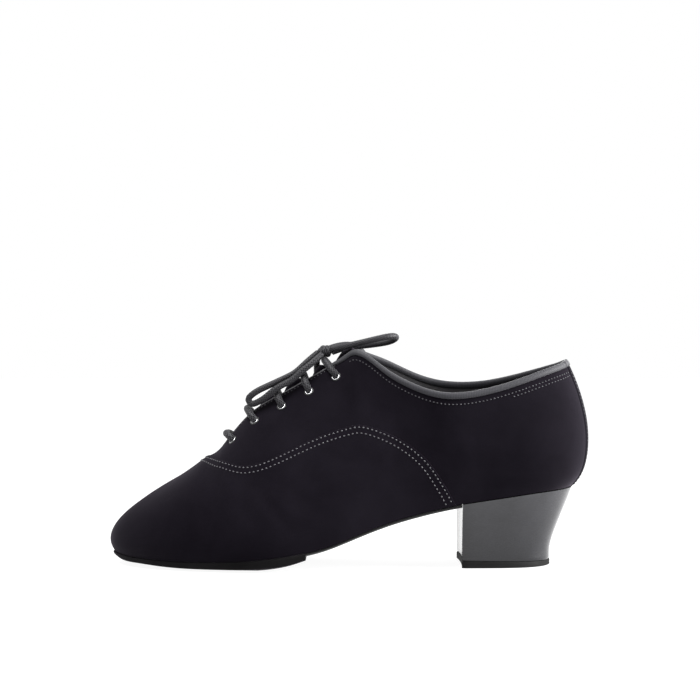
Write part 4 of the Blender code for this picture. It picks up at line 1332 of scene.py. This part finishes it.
def eyelet(side, number):
    """Dark flange with a bright rolled lip round the bore, and a washer inside."""
    point, normal, up = eyelet_place(side, number)
    point = point - EYELET_SINK * up
    across = unit(np.cross(up, normal))
    rise = np.cross(normal, across)
    seat = -STEP + 0.0001
    profile = [
        (EYELET_RADIUS, seat - 0.0002, 1), (EYELET_RADIUS, seat + 0.00012, 1),
        (EYELET_RADIUS - 0.0002, seat + 0.00022, 1), (EYELET_RADIUS - 0.0004, seat + 0.00026, 1),
        (EYELET_BORE + 0.00040, seat + 0.00028, 1), (EYELET_BORE + 0.00036, seat + 0.00036, 0),
        (EYELET_BORE + 0.00022, seat + 0.00042, 0), (EYELET_BORE + 0.00008, seat + 0.00036, 0),
        (EYELET_BORE, seat + 0.0001, 0), (EYELET_BORE, -WALL - 0.0002, 0),
        (EYELET_BORE + 0.0001, -WALL - 0.00045, 0), (EYELET_BORE + 0.0008, -WALL - 0.0004, 0),
        (EYELET_BORE + 0.0009, -WALL, 0),
    ]
    angles = np.linspace(0, 2 * math.pi, 48, endpoint=False)
    rings = []
    for radius, out, _ in profile:
        rings.append(point + out * normal + radius * (np.cos(angles)[:, None] * across
                                                      + np.sin(angles)[:, None] * rise))
    made = Sheets()
    for k in range(len(rings) - 1):
        made.grid(np.array(rings[k:k + 2]), ring=True, kind=profile[k][2] * profile[k + 1][2])
    name = f"{'lateral' if side == LATERAL else 'medial'}_{number}"
    piece = made.piece(f"eyelet_ring_{name}", [M_NICKEL, M_ENAMEL], "eyelet_metal", merge=0.00001)
    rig.replaces(piece, f"eyelet_{name}")
    return piece


def bar(number):
    """Bar over the throat: out of one eyelet, over both facing edges, down the other."""
    distance = FIRST_EYELET + (number - 1) * EYELET_SPACING
    halves = []
    for side in (LATERAL, MEDIAL):
        point, normal, up = eyelet_place(side, number)
        line = [
            point - (WALL + 0.0008) * normal - 0.0001 * up,
            point - 0.5 * WALL * normal + 0.0002 * up,
            point + 0.0002 * normal + 0.0009 * up,
        ]
        for stop, clear in ((0.72, 0.0014), (0.42, 0.0020), (0.16, 0.0021)):
            rib = rib_on_facing(distance - BAR_LEANS[number - 1] * (1 - stop))
            share = share_below_edge(rib, side, stop * EYELET_SETBACK)
            points, normals, _, _ = skin_frames(side, [rib], [share])
            line.append(points[0] + clear * normals[0])
        halves.append(line)
    piece, _ = lace_piece(f"braided_bar_{number}", halves[0] + halves[1][::-1], SHOWN_BAR)
    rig.replaces(piece, f"lace_bar_{number}")
    return piece


def aglet(name, route):
    """Film tip on a lace end."""
    tail = smooth_route(route, AGLET_SPACING)[-int(AGLET_LENGTH / AGLET_SPACING):]
    radii = np.full(len(tail), 0.5 * LACE * 0.90)
    radii[:3] = 0.5 * LACE * np.array((0.98, 0.97, 0.94))
    radii[-4:] = 0.5 * LACE * np.array((0.88, 0.82, 0.70, 0.50))
    rings = tube_rings(tail, radii, around=20)
    made = Sheets()
    made.grid(rings, ring=True, flip=True)
    made.fan(rings[-1], flip=True)
    return made.piece(name, M_AGLET, "lace")


def knot():
    """Wraps of the lace round the bow's middle."""
    centre = np.array(KNOT_CENTRE)
    half = 0.5 * LACE
    whole = 2 * math.pi * 1.9
    route = []
    for turn in np.linspace(0, whole, 60):
        sway = turn / whole - 0.5
        route.append(centre + np.array((
            sway * 2.4 * half + 0.25 * half * math.sin(turn),
            1.75 * half * math.cos(turn + 0.7),
            0.98 * half * math.sin(turn + 0.7),
        )))
    wrap, _ = lace_piece("bow_knot", route)
    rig.replaces(wrap, "lace_knot")
    return wrap


def bow():
    """The knot, its two loops and the lace's two ends."""
    tied = knot()
    for name, points, end in (
        ("lace_loop_front", LOOP_FRONT, "knot"), ("lace_loop_back", LOOP_BACK, "knot"),
        ("lace_end_front", END_FRONT, "fitting"), ("lace_end_back", END_BACK, "fitting"),
    ):
        piece, route = lace_piece(name.replace("lace_", "braided_"), points)
        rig.replaces(piece, name)
        extra = [aglet(name + "_aglet", points)] if end == "fitting" else [tied]
        if name == "lace_loop_back":
            extra = []
        length = float(lengths_along(route)[-1])
        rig.cord(piece, exit=points[0], length=length, diameter=LACE, far_end=end,
                stiffness="limp", lay="loose", path=[tuple(p) for p in route[::3]] + [tuple(route[-1])],
                with_pieces=extra)


def camera():
    """Level camera as far away and as long as the photo's."""
    data = bpy.data.cameras.new("photo_camera")
    data.sensor_width = 36
    data.lens = 36 * 1594 / 700
    made = bpy.data.objects.new("photo_camera", data)
    made.location = (0.00105, -0.940, 0.1255)
    made.rotation_euler = (math.radians(90), 0, 0)
    bpy.context.scene.collection.objects.link(made)
    bpy.context.scene.camera = made
    return made


def area_light(name, place, target, size, power, colour=(1, 1, 1)):
    data = bpy.data.lights.new(name, "AREA")
    data.shape = "RECTANGLE"
    data.size, data.size_y = size
    data.energy = power
    data.color = colour
    made = bpy.data.objects.new(name, data)
    made.location = place
    made.rotation_euler = (Vector(target) - Vector(place)).to_track_quat("-Z", "Y").to_euler()
    bpy.context.scene.collection.objects.link(made)
    return made


def stage():
    bpy.context.scene.view_settings.view_transform = "Standard"
    world = bpy.data.worlds.new("studio")
    world.use_nodes = True
    tree = world.node_tree
    shader = tree.nodes["Background"]
    apart = tree.nodes.new("ShaderNodeSeparateXYZ")
    tree.links.new(coordinates(tree, "Generated"), apart.inputs[0])
    dim = ramp(tree, apart.outputs[1], ((0.0, 0.33), (0.45, 1.0)))
    tree.links.new(dim, shader.inputs["Color"])
    shader.inputs["Strength"].default_value = 1.0
    bpy.context.scene.world = world
    mesh = bpy.data.meshes.new("floor")
    far = 6.0
    mesh.from_pydata([(-far, -far, 0), (far, -far, 0), (far, far, 0), (-far, far, 0)], [], [(0, 1, 2, 3)])
    floor = bpy.data.objects.new("floor", mesh)
    floor.location = (0, 0, -0.0002)
    bpy.context.scene.collection.objects.link(floor)
    paper = plain("pale_floor", (0.16, 0.16, 0.16), (0.18, 0.18, 0.18), 0.9, 0.0, 0.1, 4, 0.0)
    glow = paper.node_tree.nodes["Principled BSDF"]
    glow.inputs["Emission Color"].default_value = (1, 1, 1, 1)
    glow.inputs["Emission Strength"].default_value = 0.93
    mesh.materials.append(paper)
    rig.stage(floor)
    area_light("key", (-0.35, -0.35, 1.25), (0, 0, 0.04), (0.8, 0.8), 28.0)
    area_light("back", (0.95, -0.12, 0.40), (0.10, 0, 0.08), (0.5, 0.7), 34.0)


camera()
stage()
bow()
for number in range(1, EYELETS + 1):
    bar(number)
    for side in (LATERAL, MEDIAL):
        eyelet(side, number)
upper()
lining()
back_strip()
all_stitches()
collar_tape()
tongue()
insole()
outsole()
waist_sole()
heel()
heel_top_piece()


def as_lists(box):
    return [[float(value) for value in corner] for corner in box]


with open("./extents.json", "w") as out:
    json.dump({"cad": as_lists(CAD_BOX), "scene": as_lists(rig.bounds())}, out)
